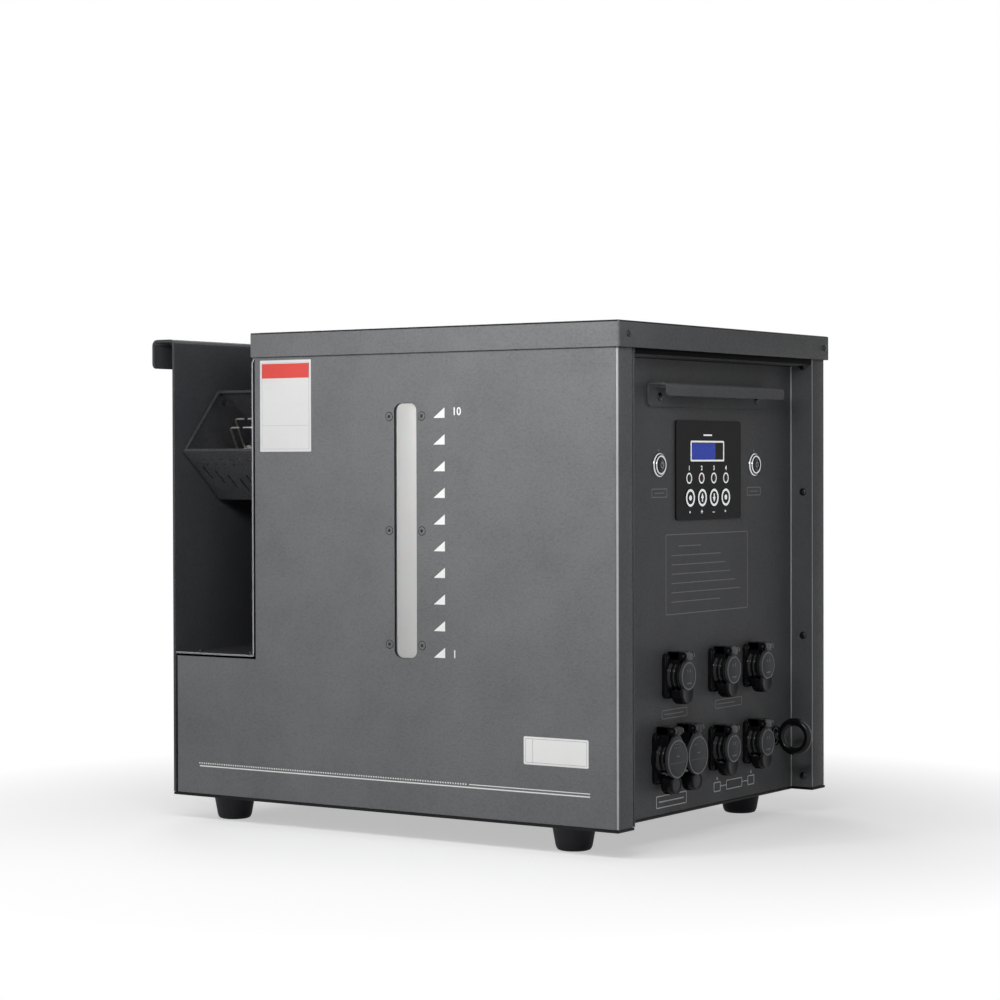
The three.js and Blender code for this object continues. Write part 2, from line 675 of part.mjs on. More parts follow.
function buttonBezel(y) {
  const { flangeRadius, flangeThickness, ringRadius, ringHeight, barrelRadius, barrelDepth } = pushButton;
  const bore = pushButton.plungerRadius + pushButton.running;
  const flangeTop = mounted + flangeThickness;
  const profile = [
    [bore, mounted - barrelDepth],
    [barrelRadius, mounted - barrelDepth],
    [barrelRadius, mounted],
    [flangeRadius, mounted],
    [flangeRadius, flangeTop - flangeThickness / 3],
    [flangeRadius - flangeThickness / 2, flangeTop],
    [ringRadius, flangeTop],
    [ringRadius - ringHeight / 4, flangeTop + ringHeight],
    [bore, flangeTop + ringHeight],
  ];
  return turned(profile, 'x', [0, y, buttonMiddle], 16);
}

function buttonPlunger(y) {
  const face = mounted + pushButton.flangeThickness + pushButton.ringHeight + pushButton.proud;
  const { plungerRadius, plungerDepth, proud } = pushButton;
  const profile = [
    [0, face - plungerDepth],
    [plungerRadius, face - plungerDepth],
    [plungerRadius, face - proud],
    [plungerRadius - proud, face],
    [0, face],
  ];
  return turned(profile, 'x', [0, y, buttonMiddle], 16);
}

function buildControls() {
  piece('display_bezel', displayBezel(), blackPlastic());
  piece('display_board', displayBoard(), finish('#2c46c8', 0.4, 0));
  keyPlaces().forEach((place, count) => piece(`key_${count + 1}`, panelKey(place), blackPlastic()));
  pushButtonPlaces().forEach(({ name, y }) => {
    piece(`${name}_bezel`, buttonBezel(y), chrome());
    piece(`${name}_plunger`, buttonPlunger(y), steel());
  });
}

// The sealed sockets and their hinged lids
const lidBack = mounted + socket.reach + seat;
const pinReach = lidBack + lid.thickness / 2;

function socketPlaces() {
  const { left, middle: centre, right } = socket.columnShares;
  const single = [
    { name: 'upper_left', share: left, z: socket.upperRow },
    { name: 'upper_middle', share: centre, z: socket.upperRow },
    { name: 'upper_right', share: right, z: socket.upperRow },
    { name: 'lower_middle', share: centre, z: socket.lowerRow },
    { name: 'lower_right', share: right, z: socket.lowerRow },
  ].map((place) => ({
    ...place,
    y: featureMiddle + place.share * panelHalf,
    radius: lid.radius,
    rise: lid.pivotRise,
    tabRadius: lid.tabRadius,
    tabDrop: lid.tabDrop,
  }));
  const pair = [['double_left', -1], ['double_right', 1]].map(([name, side]) => ({
    name,
    y: featureMiddle + double.shiftShare * panelHalf + (side * double.pitch) / 2,
    z: socket.lowerRow,
    radius: double.lidRadius,
    rise: double.pivotRise,
    tabRadius: double.tabRadius,
    tabDrop: double.tabDrop,
    double: true,
  }));
  return [...single, ...pair];
}

// One socket body in front of and behind its flange, with two ears for the lid's pin
function socketBody({ y, z, rise }) {
  const front = mounted + socket.reach;
  const step = mounted + socket.flange;
  const rib = middle(step, front);
  const outer = [
    [0, mounted - socket.barrelDepth],
    [socket.barrelRadius, mounted - socket.barrelDepth],
    [socket.barrelRadius, mounted],
    [socket.bodyRadius, mounted],
    [socket.bodyRadius, step + seat],
    [socket.waistRadius, step + seat + socket.ribWidth],
    [socket.waistRadius, rib - socket.ribWidth / 2],
    [socket.mouthRadius, rib],
    [socket.waistRadius, rib + socket.ribWidth / 2],
    [socket.waistRadius, front - socket.ribWidth],
    [socket.mouthRadius, front - socket.ribWidth / 2],
    [socket.mouthRadius, front],
    [0, front],
  ];
  const body = turned(outer, 'x', [0, y, z], roundSteps);
  const pivotZ = z + rise;
  const earReach = pinReach + lid.knuckleRadius;
  const earFoot = pivotZ - lid.knuckleRadius;
  const arm = block(mounted, pinReach - lid.knuckleRadius - seat * 2, y - lid.knuckleWidth / 2 - lid.earWidth,
    y + lid.knuckleWidth / 2 + lid.earWidth, z, pivotZ + lid.knuckleRadius);
  const ears = [-1, 1].map((side) => {
    const inner = lid.knuckleWidth / 2 + lid.earGap;
    const [a, b] = [y + side * inner, y + side * (lid.knuckleWidth / 2 + lid.earWidth)];
    const outline = new THREE.Shape();
    outline.moveTo(earFoot, mounted);
    outline.lineTo(earFoot, pinReach);
    outline.absarc(pivotZ, pinReach, lid.knuckleRadius, -Math.PI, -Math.PI * 2, true);
    outline.lineTo(pivotZ + lid.knuckleRadius, mounted);
    outline.closePath();
    return slab(outline, 'y', Math.min(a, b), Math.max(a, b));
  });
  const pinRoom = lid.knuckleWidth / 2 + lid.earWidth + overrun;
  const pinHole = cylinder(lid.pinRadius + lid.pinRunning, 'y', [pinReach, y, pivotZ], -pinRoom, pinRoom, 8);
  const bore = cylinder(socket.boreRadius, 'x', [0, y, z], front - socket.boreDepth, front + overrun, 12);
  const pin = cylinder(socket.pinRadius, 'x', [0, y, z], front - socket.boreDepth - overrun / 3,
    front - socket.boreDepth + socket.pinHeight, 6);
  const clear = block(pinReach - lid.knuckleRadius - seat, earReach + overrun, y - lid.knuckleWidth / 2 - lid.earGap,
    y + lid.knuckleWidth / 2 + lid.earGap, earFoot - seat, pivotZ + lid.knuckleRadius + overrun);
  return join(cut(join(body, arm, ...ears), pinHole, bore, clear), pin);
}

function socketFlange(y, z, width, height) {
  return slab(roundedRectangle(y - width / 2, z - height / 2, y + width / 2, z + height / 2, socket.corner),
    'x', mounted, mounted + socket.flange, 1);
}

// A lid: a disc drawn out to a knuckle at its top, with a deep thumb grip that reaches back under the socket's body
function socketLid({ y, z, radius, rise, tabRadius, tabDrop }) {
  const pivotZ = z + rise;
  const [back, front] = [lidBack, lidBack + lid.thickness];
  const outline = new THREE.Shape();
  const neck = lid.knuckleWidth / 2;
  const neckTop = pivotZ - lid.knuckleRadius / 2;
  const neckFoot = rise - lid.knuckleRadius - seat * 2;
  const shoulder = Math.atan2(neckFoot, -neck) + Math.acos(radius / Math.hypot(neck, neckFoot));
  outline.moveTo(y + neck, z + neckFoot);
  outline.lineTo(y + neck, neckTop);
  outline.lineTo(y - neck, neckTop);
  outline.lineTo(y - neck, z + neckFoot);
  outline.absarc(y, z, radius, shoulder, Math.PI * 3 - shoulder);
  outline.closePath();
  const disc = slab(outline, 'x', back, front, roundSteps / 2);
  const knuckle = cylinder(lid.knuckleRadius, 'y', [pinReach, y, pivotZ], -neck, neck, 10);
  const pinHalf = neck + lid.earWidth;
  const pin = cylinder(lid.pinRadius, 'y', [pinReach, y, pivotZ], -pinHalf, pinHalf, 8);
  const tabCentre = z - tabDrop + tabRadius;
  const tabBack = mounted + socket.flange + lid.tabStandoff;
  const tab = cylinder(tabRadius, 'x', [0, y, tabCentre], tabBack, back + lid.tabThickness, 16);
  const bodyRoom = cylinder(socket.bodyRadius + lid.tabClearance, 'x', [0, y, z], tabBack - overrun, back, 16);
  return join(disc, knuckle, pin, cut(tab, bodyRoom));
}

function safetyEyebolt() {
  const { ringRadius, barRadius, collarRadius, collarHeight, shankRadius, shankDepth } = eyebolt;
  const [y, z] = [featureMiddle + eyebolt.shiftShare * panelHalf, eyebolt.middle];
  const sides = roundSteps / 2;
  const section = Array.from({ length: sides }, (unused, count) => {
    const angle = (count / sides) * Math.PI * 2;
    return [ringRadius + barRadius * Math.cos(angle), barRadius * Math.sin(angle)];
  });
  const ring = turned(section, 'y', [mounted + eyebolt.centreReach, y, z], 20);
  const neck = mounted + eyebolt.centreReach - ringRadius;
  const stem = turned([
    [0, mounted - shankDepth],
    [shankRadius, mounted - shankDepth],
    [shankRadius, mounted],
    [collarRadius, mounted],
    [collarRadius, mounted + collarHeight / 2],
    [shankRadius, mounted + collarHeight],
    [shankRadius, neck],
    [0, neck],
  ], 'x', [0, y, z], 14);
  return join(ring, stem);
}

function buildSockets() {
  const places = socketPlaces();
  places.filter((place) => !place.double).forEach((place) => {
    const flange = socketFlange(place.y, place.z, socket.width, socket.height);
    piece(`socket_${place.name}`, withBore(flange, place), blackPlastic());
  });
  const pair = places.filter((place) => place.double);
  const plate = socketFlange(featureMiddle + double.shiftShare * panelHalf, socket.lowerRow, double.width, double.height);
  piece('socket_double', pair.reduce((solid, place) => withBore(solid, place), plate), blackPlastic());
  places.forEach((place) => piece(`socket_lid_${place.name}`, socketLid(place), rubber()));
  piece('safety_eyebolt', safetyEyebolt(), blackPlastic());
}

// A socket body let into its flange, with the flange's middle cut away for the bore
function withBore(flange, place) {
  const front = mounted + socket.reach;
  const bore = cylinder(socket.boreRadius, 'x', [0, place.y, place.z], mounted - overrun, front, 12);
  return join(cut(flange, bore), socketBody(place));
}

// The burner, drawn about its own pivot
const burnerHalfX = bay.width / 2 - burner.sideGap;

function burnerBox() {
  const [halfY, halfZ] = [burner.mouth / 2, burner.depth / 2];
  const wall = burner.sheet;
  const outer = block(-burnerHalfX, burnerHalfX, -halfY, halfY, -halfZ, halfZ);
  const inner = block(-burnerHalfX + wall, burnerHalfX - wall, -halfY + wall, halfY - wall, -halfZ + wall, halfZ + overrun);
  const stubs = [-1, 1].map((side) => {
    const bushFlange = pivot.bushFlange + seat;
    const reach = burnerHalfX + burner.sideGap + (side < 0 ? endPlate.sheet : cabinet.sheet) + bushFlange;
    const [from, to] = side < 0
      ? [-reach + bushFlange + seat, -burnerHalfX + wall] : [burnerHalfX - wall, reach];
    return cylinder(pivot.stubRadius, 'x', [0, 0, 0], from, to, 16);
  });
  const feed = cylinder(pivot.stubBore, 'x', [0, 0, 0], 0, burnerHalfX + burner.sideGap + overrun * 2, 16);
  const jet = cylinder(nozzle.bodyRadius + seat, 'z', [0, nozzle.offset, 0], -halfZ - overrun, -halfZ + wall + overrun, 12);
  const front = -halfY + wall / 2;
  const cuts = [];
  const reach = wall / 2 + overrun / 2;
  for (let row = 0; row < 2; row += 1) {
    for (let count = 0; count < perforation.holeCount; count += 1) {
      const x = (count - (perforation.holeCount - 1) / 2) * perforation.holePitch;
      const z = halfZ - perforation.firstRow - row * perforation.rowPitch;
      cuts.push(cylinder(perforation.holeRadius, 'y', [x, front, z], -reach, reach, 6));
    }
  }
  const central = (perforation.slotCount - 1) / 2;
  for (let count = 0; count < perforation.slotCount; count += 1) {
    const x = (count - central) * perforation.slotPitch;
    const start = perforation.slotStart + (central - Math.abs(count - central)) * perforation.slotStagger;
    const [high, low] = [halfZ - start, halfZ - start - perforation.slotLength];
    const half = perforation.slotWidth / 2;
    cuts.push(slab(roundedRectangle(low, x - half, high, x + half, half), 'y', front - reach, front + reach, 1));
  }
  const rim = rimLip(halfY, halfZ);
  return cut(join(cut(outer, inner), ...stubs, rim), feed, jet, ...cuts);
}

// The folded-in edge round the mouth
function rimLip(halfY, halfZ) {
  const width = burner.rimWidth;
  const outline = roundedRectangle(-burnerHalfX, -halfY, burnerHalfX, halfY, burner.rimBend);
  const opening = roundedRectangle(-burnerHalfX + width, -halfY + width, burnerHalfX - width, halfY - width, burner.rimBend);
  return cut(slab(outline, 'z', halfZ - burner.sheet, halfZ), slab(opening, 'z', halfZ - overrun, halfZ + overrun));
}

// The nozzle with the pipe that feeds it through the hollow pivot
function nozzleBody() {
  const low = -burner.depth / 2;
  const floor = low + burner.sheet + seat;
  const centre = [0, nozzle.offset, 0];
  const hex = prism(nozzle.hexRadius, 'z', centre, floor, floor + nozzle.hexHeight, 6);
  const top = floor + nozzle.bodyHeight;
  const jet = turned([
    [0, floor + nozzle.hexHeight / 2],
    [nozzle.bodyRadius, floor + nozzle.hexHeight / 2],
    [nozzle.bodyRadius, top],
    [nozzle.tipRadius, top + nozzle.tipHeight],
    [nozzle.jetRadius, top + nozzle.tipHeight],
    [nozzle.jetRadius, top],
    [0, top],
  ], 'z', centre, roundSteps);
  const bossLow = low - nozzle.pipeDrop / 2;
  const boss = cylinder(nozzle.bodyRadius, 'z', centre, bossLow, floor + overrun / 3, 12);
  const pipeZ = floor + nozzle.hexHeight / 2;
  const end = burnerHalfX - burner.sheet + seat;
  const aside = nozzle.offset - nozzle.pipeAside;
  const turn = end - nozzle.pipeBend * 1.5;
  const pipe = bar([
    [0, nozzle.offset - nozzle.bodyRadius / 2, pipeZ],
    [0, aside, pipeZ],
    [turn, aside, pipeZ],
    [turn, 0, 0],
    [end + nozzle.pipeDrop, 0, 0],
  ], nozzle.pipeRadius, nozzle.pipeBend, 6, 16);
  return join(hex, jet, boss, pipe);
}

function electrodePlaces() {
  const places = [];
  for (const [row, level] of [['front', -1], ['back', 1]]) {
    for (const [column, side] of [['left', -1], ['right', 1]]) {
      places.push({ name: `${row}_${column}`, side, y: nozzle.offset + (level * electrode.pairPitch) / 2 });
    }
  }
  return places;
}

function electrodeRod({ side, y }) {
  const top = burner.depth / 2 - electrode.tipDepth;
  const seatTop = -burner.depth / 2 + burner.sheet + seat + insulator.height;
  return bar([
    [side * electrode.footSpread, y, seatTop - electrode.seatDepth + seat],
    [side * electrode.footSpread, y, seatTop + electrode.bend],
    [side * electrode.shoulder, y, top],
    [(side * electrode.tipGap) / 2, y, top],
  ], electrode.radius, electrode.bend, 6, 14);
}

function insulatorBlock(side) {
  const floor = -burner.depth / 2 + burner.sheet + seat;
  const x = side * electrode.footSpread;
  const half = insulator.width / 2;
  const reach = electrode.pairPitch / 2 + insulator.endMargin;
  const outline = roundedRectangle(x - half, nozzle.offset - reach, x + half, nozzle.offset + reach, half);
  const body = slab(outline, 'z', floor, floor + insulator.height);
  const top = floor + insulator.height;
  const holes = [-1, 1].map((level) => cylinder(electrode.radius + seat, 'z',
    [x, nozzle.offset + (level * electrode.pairPitch) / 2, 0], top - electrode.seatDepth, top + overrun, 8));
  return cut(body, ...holes);
}

function lockKnob() {
  const out = -burnerHalfX - burner.sideGap - endPlate.sheet;
  const shank = cylinder(lock.shankRadius, 'x', [0, lock.outY, lock.outZ], out - seat, -burnerHalfX + burner.sheet, 12);
  const lobes = new THREE.Shape();
  const steps = lock.knobLobes * 3;
  for (let count = 0; count < steps; count += 1) {
    const angle = (count / steps) * Math.PI * 2;
    const radius = lock.knobRadius * (1 + lock.knobWaveShare * Math.cos(lock.knobLobes * angle));
    const [u, v] = [lock.outY + radius * Math.cos(angle), lock.outZ + radius * Math.sin(angle)];
    if (count === 0) {
      lobes.moveTo(u, v);
    } else {
      lobes.lineTo(u, v);
    }
  }
  lobes.closePath();
  return join(shank, slab(lobes, 'x', out - seat - lock.knobHeight, out - seat));
}

function pivotBush(from, to, flangeSide) {
  const bore = pivot.stubRadius + pivot.running;
  const outer = bore + pivot.bushWall;
  const flange = outer + pivot.bushFlangeWidth;
  const [edge, inner] = flangeSide > 0 ? [to, to - pivot.bushFlange] : [from, from + pivot.bushFlange];
  const far = flangeSide > 0 ? from : to;
  const profile = [[bore, far], [outer, far], [outer, inner], [flange, inner], [flange, edge], [bore, edge]];
  return turned(profile, 'x', [0, burner.pivotSetback, pivotHeight], 18);
}

function buildBurner() {
  const head = new THREE.Group();
  head.position.set(bayMiddle, burner.pivotSetback, pivotHeight);
  head.rotation.x = THREE.MathUtils.degToRad(burner.tilt);
  machine.add(head);
  const box = cut(burnerBox(), lockHole());
  piece('burner_box', box, darkCoat(), head);
  piece('nozzle', nozzleBody(), brass(), head);
  piece('insulator_left', insulatorBlock(-1), ceramic(), head);
  piece('insulator_right', insulatorBlock(1), ceramic(), head);
  electrodePlaces().forEach((place) => piece(`electrode_${place.name}`, electrodeRod(place), steel(), head));
  piece('tilt_lock_knob', lockKnob(), blackPlastic(), head);
  const gap = seat;
  piece('pivot_bush_left', pivotBush(gap, endPlate.sheet + gap + pivot.bushFlange, 1), brass());
  piece('pivot_bush_right', pivotBush(bayWall - gap - pivot.bushFlange, bayWallBack + gap, -1), brass());
}

function lockHole() {
  return cylinder(lock.shankRadius + seat, 'x', [0, lock.outY, lock.outZ], -burnerHalfX - overrun, -burnerHalfX + overrun, 12);
}

// What the closed cabinet holds
function fuelTank() {
  const [[x0, x1], [y0, y1]] = [tankX, tankY];
  const wall = tank.wall;
  const outer = slab(roundedRectangle(x0, y0, x1, y1, tank.corner), 'z', tank.low, tankTop);
  const inner = slab(roundedRectangle(x0 + wall, y0 + wall, x1 - wall, y1 - wall, tank.corner - wall), 'z',
    tank.low + wall, tankTop - wall);
  const [x, y] = fillerPlace();
  const mouth = cylinder(filler.neckBore, 'z', [x, y, 0], tankTop - wall - overrun, tankTop + overrun, 24);
  const outletX = x0 + tank.outletInset;
  const outletZ = tank.low + tank.outletInset;
  const outlet = cylinder(tank.outletRadius, 'y', [outletX, 0, outletZ], y1 - wall / 2, y1 + tank.outletLength, 12);
  return join(cut(outer, inner, mouth), outlet);
}

function tankCradle() {
  const half = cradle.sheet / 2;
  const [x0, x1] = [tankX[0] + cradle.endGap, tankX[1] - cradle.endGap];
  const [y0, y1] = [tankY[0] + cradle.margin, tankY[1] - cradle.margin];
  const high = tank.low - seat - half;
  const low = half;
  const footRun = cradle.margin;
  const path = [
    [x0 - footRun, low],
    [x0, low],
    [x0, high],
    [x1, high],
    [x1, low],
    [x1 + footRun, low],
  ];
  const swapped = path.map(([x, z]) => [z, x]);
  return slab(folded(swapped, cradle.sheet, cradle.bend), 'y', y0, y1);
}

function fillerNeck() {
  const [x, y] = fillerPlace();
  const low = tankTop + seat;
  const high = cabinet.height + filler.neckRise;
  return turned([
    [filler.neckBore, low],
    [filler.collarRadius, low],
    [filler.collarRadius, low + filler.collarHeight],
    [filler.neckRadius, low + filler.collarHeight],
    [filler.neckRadius, high],
    [filler.neckBore, high],
  ], 'z', [x, y, 0], 24);
}

function fillerCap() {
  const [x, y] = fillerPlace();
  const low = cabinet.height + seat;
  const high = cabinet.height + filler.capRise;
  const inside = filler.neckRadius + seat;
  return turned([
    [inside, low],
    [filler.capRadius, low],
    [filler.capRadius, high - filler.capTop / 2],
    [filler.capRadius - filler.capTop / 2, high],
    [0, high],
    [0, high - filler.capTop],
    [inside, high - filler.capTop],
  ], 'z', [x, y, 0], 24);
}

function pumpPlace() {
  return [bayWall + pump.fromBayWall, cabinet.depth - pump.fromBack, pump.shaftHeight];
}

function fuelPump() {
  const [x, y, z] = pumpPlace();
  const half = pump.headSize / 2;
  const head = slab(roundedRectangle(y - half, z - half, y + half, z + half, half / 4), 'x', x, x + pump.headLength);
  const motor = cylinder(pump.motorRadius, 'x', [0, y, z], x + pump.headLength, x + pump.headLength + pump.motorLength, 20);
  const length = pump.headLength + pump.motorLength;
  const footPlate = block(x, x + length, y - pump.footWidth / 2, y + pump.footWidth / 2, 0, pump.footThickness);
  const web = block(x, x + length, y - half / 2, y + half / 2, 0, z - pump.motorRadius / 2);
  const middleX = x + pump.headLength / 2;
  const inlet = cylinder(pump.portRadius, 'x', [0, y, z], x - pump.portLength, x + pump.headLength / 2, 12);
  const outlet = cylinder(pump.portRadius, 'z', [middleX, y, 0], z + half / 2, z + half + pump.portLength, 12);
  return join(head, motor, footPlate, web, inlet, outlet);
}

function valvePlace() {
  return [bayWallBack + valve.fromBayWall, valve.fromFront, valve.lowShare * pivotHeight];
}

function solenoidValve() {
  const [x, y, z] = valvePlace();
  const size = valve.blockSize;
  const body = block(x, x + size, y - size / 2, y + size / 2, z, z + size);
  const centre = [x + size / 2, 0, z + size / 2];
  const coil = cylinder(valve.coilRadius, 'y', centre, y + size / 2 + valve.portLength / 2, y + size / 2 + valve.coilHeight, 20);
  const stem = cylinder(valve.stemRadius, 'y', centre, y, y + size / 2 + valve.portLength, 12);
  const inlet = cylinder(valve.portRadius, 'z', [x + size / 2, y, 0], z - valve.portLength, z + size / 2, 12);
  const outlet = cylinder(valve.portRadius, 'z', [x + size / 2, y, 0], z + size / 2, z + size + valve.portLength, 12);
  const bracket = block(bayWallBack + seat, x + size / 2, y - size / 2 - valve.bracketReach, y + size / 2 + valve.bracketReach,
    z + size / 2, z + size / 2 + valve.bracket);
  const tab = block(bayWallBack + seat, bayWallBack + seat + valve.bracket, y - size / 2 - valve.bracketReach,
    y + size / 2 + valve.bracketReach, z, z + size);
  return join(body, coil, stem, inlet, outlet, bracket, tab);
}

function suctionHose() {
  const [px, py, pz] = pumpPlace();
  const start = [tankX[0] + tank.outletInset, tankY[1] + tank.outletLength + hose.clearance, tank.low + tank.outletInset];
  const end = [px - pump.portLength - hose.clearance, py, pz];
  return bar([start, [start[0], py, start[2]], [start[0], py, pz], end], hose.radius, hose.radius * 4, 6);
}

function pressureHose() {
  const [px, py, pz] = pumpPlace();
  const [vx, vy, vz] = valvePlace();
  const start = [px + pump.headLength / 2, py, pz + pump.headSize / 2 + pump.portLength + hose.clearance];
  const end = [vx + valve.blockSize / 2, vy, vz - valve.portLength - hose.clearance];
  const high = start[2] + hose.radius * 5;
  const aside = py + hose.radius * 6;
  return bar([
    start,
    [start[0], py, high],
    [start[0], aside, high],
    [end[0], aside, high],
    [end[0], vy, high],
    end,
  ], hose.radius, hose.radius * 4, 6, 26);
}

function feedPipe() {
  const [vx, vy, vz] = valvePlace();
  const start = [vx + valve.blockSize / 2, vy, vz + valve.blockSize + valve.portLength + hose.clearance];
  const stubEnd = bayWallBack + pivot.bushFlange + seat * 2;
  const end = [stubEnd, burner.pivotSetback, pivotHeight - hose.pipeRadius - seat];
  return bar([start, [start[0], vy, end[2] - hose.radius * 4], [start[0], end[1], end[2]], end], hose.pipeRadius, hose.radius * 3);
}

function transformerPlace() {
  return [bayWallBack + transformer.fromBayWall, cabinet.depth - transformer.fromBack - transformer.depth];
}

function ignitionTransformer() {
  const [x, y] = transformerPlace();
  const body = slab(roundedRectangle(x, y, x + transformer.length, y + transformer.depth, transformer.bushRadius / 2),
    'z', 0, transformer.height);
  const [mx, my] = [x + transformer.length / 2, y + transformer.depth / 2];
  const bush = turned([
    [0, transformer.height - overrun / 3],
    [transformer.bushRadius, transformer.height - overrun / 3],
    [transformer.bushRadius / 2, transformer.height + transformer.bushHeight],
    [0, transformer.height + transformer.bushHeight],
  ], 'z', [mx, my, 0], 16);
  return join(body, bush);
}

function sparkLead() {
  const [x, y] = transformerPlace();
  const top = transformer.height + transformer.bushHeight + hose.clearance;
  const start = [x + transformer.length / 2, y + transformer.depth / 2, top];
  const stubEnd = bayWallBack + pivot.bushFlange + seat * 2;
  const end = [stubEnd, burner.pivotSetback, pivotHeight + transformer.sparkLead + seat];
  return bar([start, [start[0], start[1], end[2]], [start[0], end[1], end[2]], end], transformer.sparkLead, hose.radius * 5, 6, 20);
}

function powerSupply() {
  const x1 = panelBack - supply.fromPanel;
  const x0 = x1 - supply.length;
  const y1 = cabinet.depth - cabinet.sheet - supply.fromBack;
  const y0 = y1 - supply.depth;
  const body = slab(roundedRectangle(x0, y0, x1, y1, supply.corner), 'z', 0, supply.height);
  const middleX = middle(x0, x1);
  const terminals = block(middleX - supply.terminalLength / 2, middleX + supply.terminalLength / 2,
    y0 - supply.terminalDepth, y0 + overrun, 0, supply.terminalHeight);
  return join(body, terminals);
}

function buildInside() {
  piece('fuel_tank', fuelTank(), frosted());
  piece('tank_cradle', tankCradle(), steel());
  piece('filler_neck', fillerNeck(), blackPlastic());
  piece('filler_cap', fillerCap(), blackPlastic());
  piece('fuel_pump', fuelPump(), steel());
  piece('solenoid_valve', solenoidValve(), brass());
  piece('suction_hose', suctionHose(), rubber());
  piece('pressure_hose', pressureHose(), rubber());
  piece('feed_pipe', feedPipe(), steel());
  piece('ignition_transformer', ignitionTransformer(), blackPlastic());
  piece('spark_lead', sparkLead(), finish('#b5402c', 0.5, 0));
  piece('power_supply', powerSupply(), steel());
}

buildCabinet();
buildControls();
buildSockets();
buildBurner();
buildInside();

// The origin is the middle of the whole part's floor rectangle, on the surface that the feet stand on
const leftmost = -endPlate.hookWidth;
const rightmost = mounted + eyebolt.centreReach + eyebolt.ringRadius + eyebolt.barRadius;
const part = new THREE.Group();
machine.position.set(-middle(leftmost, rightmost), -cabinet.depth / 2, -footLow);
part.add(machine);

export default part;
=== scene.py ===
"""The looks of a stage flame machine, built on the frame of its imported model.

Every piece is drawn in the cabinet's own millimetres (X from the burner bay to the control panel, Y from front to
back, Z up from the lower edge of the folded panels) and then set into the frame, which is in metres.
"""
from __future__ import annotations

import json
import logging
import math
from dataclasses import dataclass, replace
from enum import Enum
from itertools import product
from typing import Sequence

import bmesh
import bpy
from mathutils import Matrix, Vector

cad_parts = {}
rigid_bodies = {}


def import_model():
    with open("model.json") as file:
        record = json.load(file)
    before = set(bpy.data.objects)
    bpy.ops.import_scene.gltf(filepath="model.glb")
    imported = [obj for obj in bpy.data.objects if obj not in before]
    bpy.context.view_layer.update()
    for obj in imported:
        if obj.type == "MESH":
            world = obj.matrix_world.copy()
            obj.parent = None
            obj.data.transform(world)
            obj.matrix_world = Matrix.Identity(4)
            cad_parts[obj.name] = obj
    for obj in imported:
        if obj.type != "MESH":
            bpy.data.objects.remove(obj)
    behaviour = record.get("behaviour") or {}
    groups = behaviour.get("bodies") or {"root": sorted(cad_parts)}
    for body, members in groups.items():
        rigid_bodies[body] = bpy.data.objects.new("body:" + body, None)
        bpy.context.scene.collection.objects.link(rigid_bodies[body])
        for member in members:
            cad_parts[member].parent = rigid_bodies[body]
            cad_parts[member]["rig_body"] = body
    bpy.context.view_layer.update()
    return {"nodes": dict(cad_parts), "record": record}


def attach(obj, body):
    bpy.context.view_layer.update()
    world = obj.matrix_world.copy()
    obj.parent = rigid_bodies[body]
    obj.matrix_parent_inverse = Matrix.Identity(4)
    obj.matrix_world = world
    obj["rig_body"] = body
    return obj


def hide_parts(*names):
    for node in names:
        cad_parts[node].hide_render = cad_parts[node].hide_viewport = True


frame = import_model()
log = logging.getLogger("flame_machine")

Point = Sequence[float]
Area = tuple[float, float, float, float]  # left, low, right, high
METRE = 1000.0  # in millimetres
CABINET_TO_FRAME = Matrix.Scale(1 / METRE, 4) @ Matrix.Translation((-241.0, -189.0, 26.5))
ORIGIN = (0.0, 0.0, 0.0)
PANEL_FACE = 468.0  # the painted face of the control panel
PANEL = 468.3  # where pieces on the control panel begin
MIDDLE = 190.5  # the control panel's middle line
SKIN = 0.12  # how thick a print or a sticker is
CASING_SLOT = "grey_powder_coat"  # the record's slot of what is fixed to the casing
FILM_SLOT = "frosted_polyethylene"  # the record's slot of films and of what stands at the level window


class Facing(Enum):
    """Which way a piece looks: its own right, its own up and its own outward direction in the cabinet."""

    FRONT = ((1, 0, 0), (0, 0, 1), (0, -1, 0))
    BACK = ((-1, 0, 0), (0, 0, 1), (0, 1, 0))
    RIGHT = ((0, 1, 0), (0, 0, 1), (1, 0, 0))
    LEFT = ((0, -1, 0), (0, 0, 1), (-1, 0, 0))
    TOP = ((1, 0, 0), (0, 1, 0), (0, 0, 1))
    UNDER = ((1, 0, 0), (0, -1, 0), (0, 0, -1))

    def at(self, x: float, y: float, z: float) -> Matrix:
        """Gives the placing of a piece that looks this way from a point of the cabinet."""
        return Matrix.Translation((x, y, z)) @ Matrix(self.value).transposed().to_4x4()


class Along(Enum):
    """Which of a piece's own directions a turned shape or a prism stands along."""

    RIGHT = ((0, 1, 0), (0, 0, 1), (1, 0, 0))
    UP = ((0, 0, 1), (1, 0, 0), (0, 1, 0))
    OUT = ((1, 0, 0), (0, 1, 0), (0, 0, 1))

    def matrix(self, centre: Point) -> Matrix:
        """Gives the placing of a shape that stands along this direction at a centre."""
        return Matrix.Translation(centre) @ Matrix(self.value).transposed().to_4x4()


class Texture(Enum):
    """The relief that a way of making leaves on a surface."""

    COATED = "orange peel of baked powder"
    MOULDED = "fine spark-eroded mould grain"
    BRUSHED = "straight hairlines"
    PLATED = "soft spangle of zinc"
    FIRED = "glaze with pores"
    RASTER = "rows of a display"


def linear(colour: str) -> tuple[float, float, float, float]:
    """Turns an sRGB hex colour into the linear one that shaders read.

    Args:
        colour: Six hex digits after a number sign.

    Returns:
        Linear red, green, blue and alpha.
    """
    parts = [int(colour[place:place + 2], 16) / 255 for place in (1, 3, 5)]
    turned = [part / 12.92 if part <= 0.04045 else ((part + 0.055) / 1.055) ** 2.4 for part in parts]
    return turned[0], turned[1], turned[2], 1.0


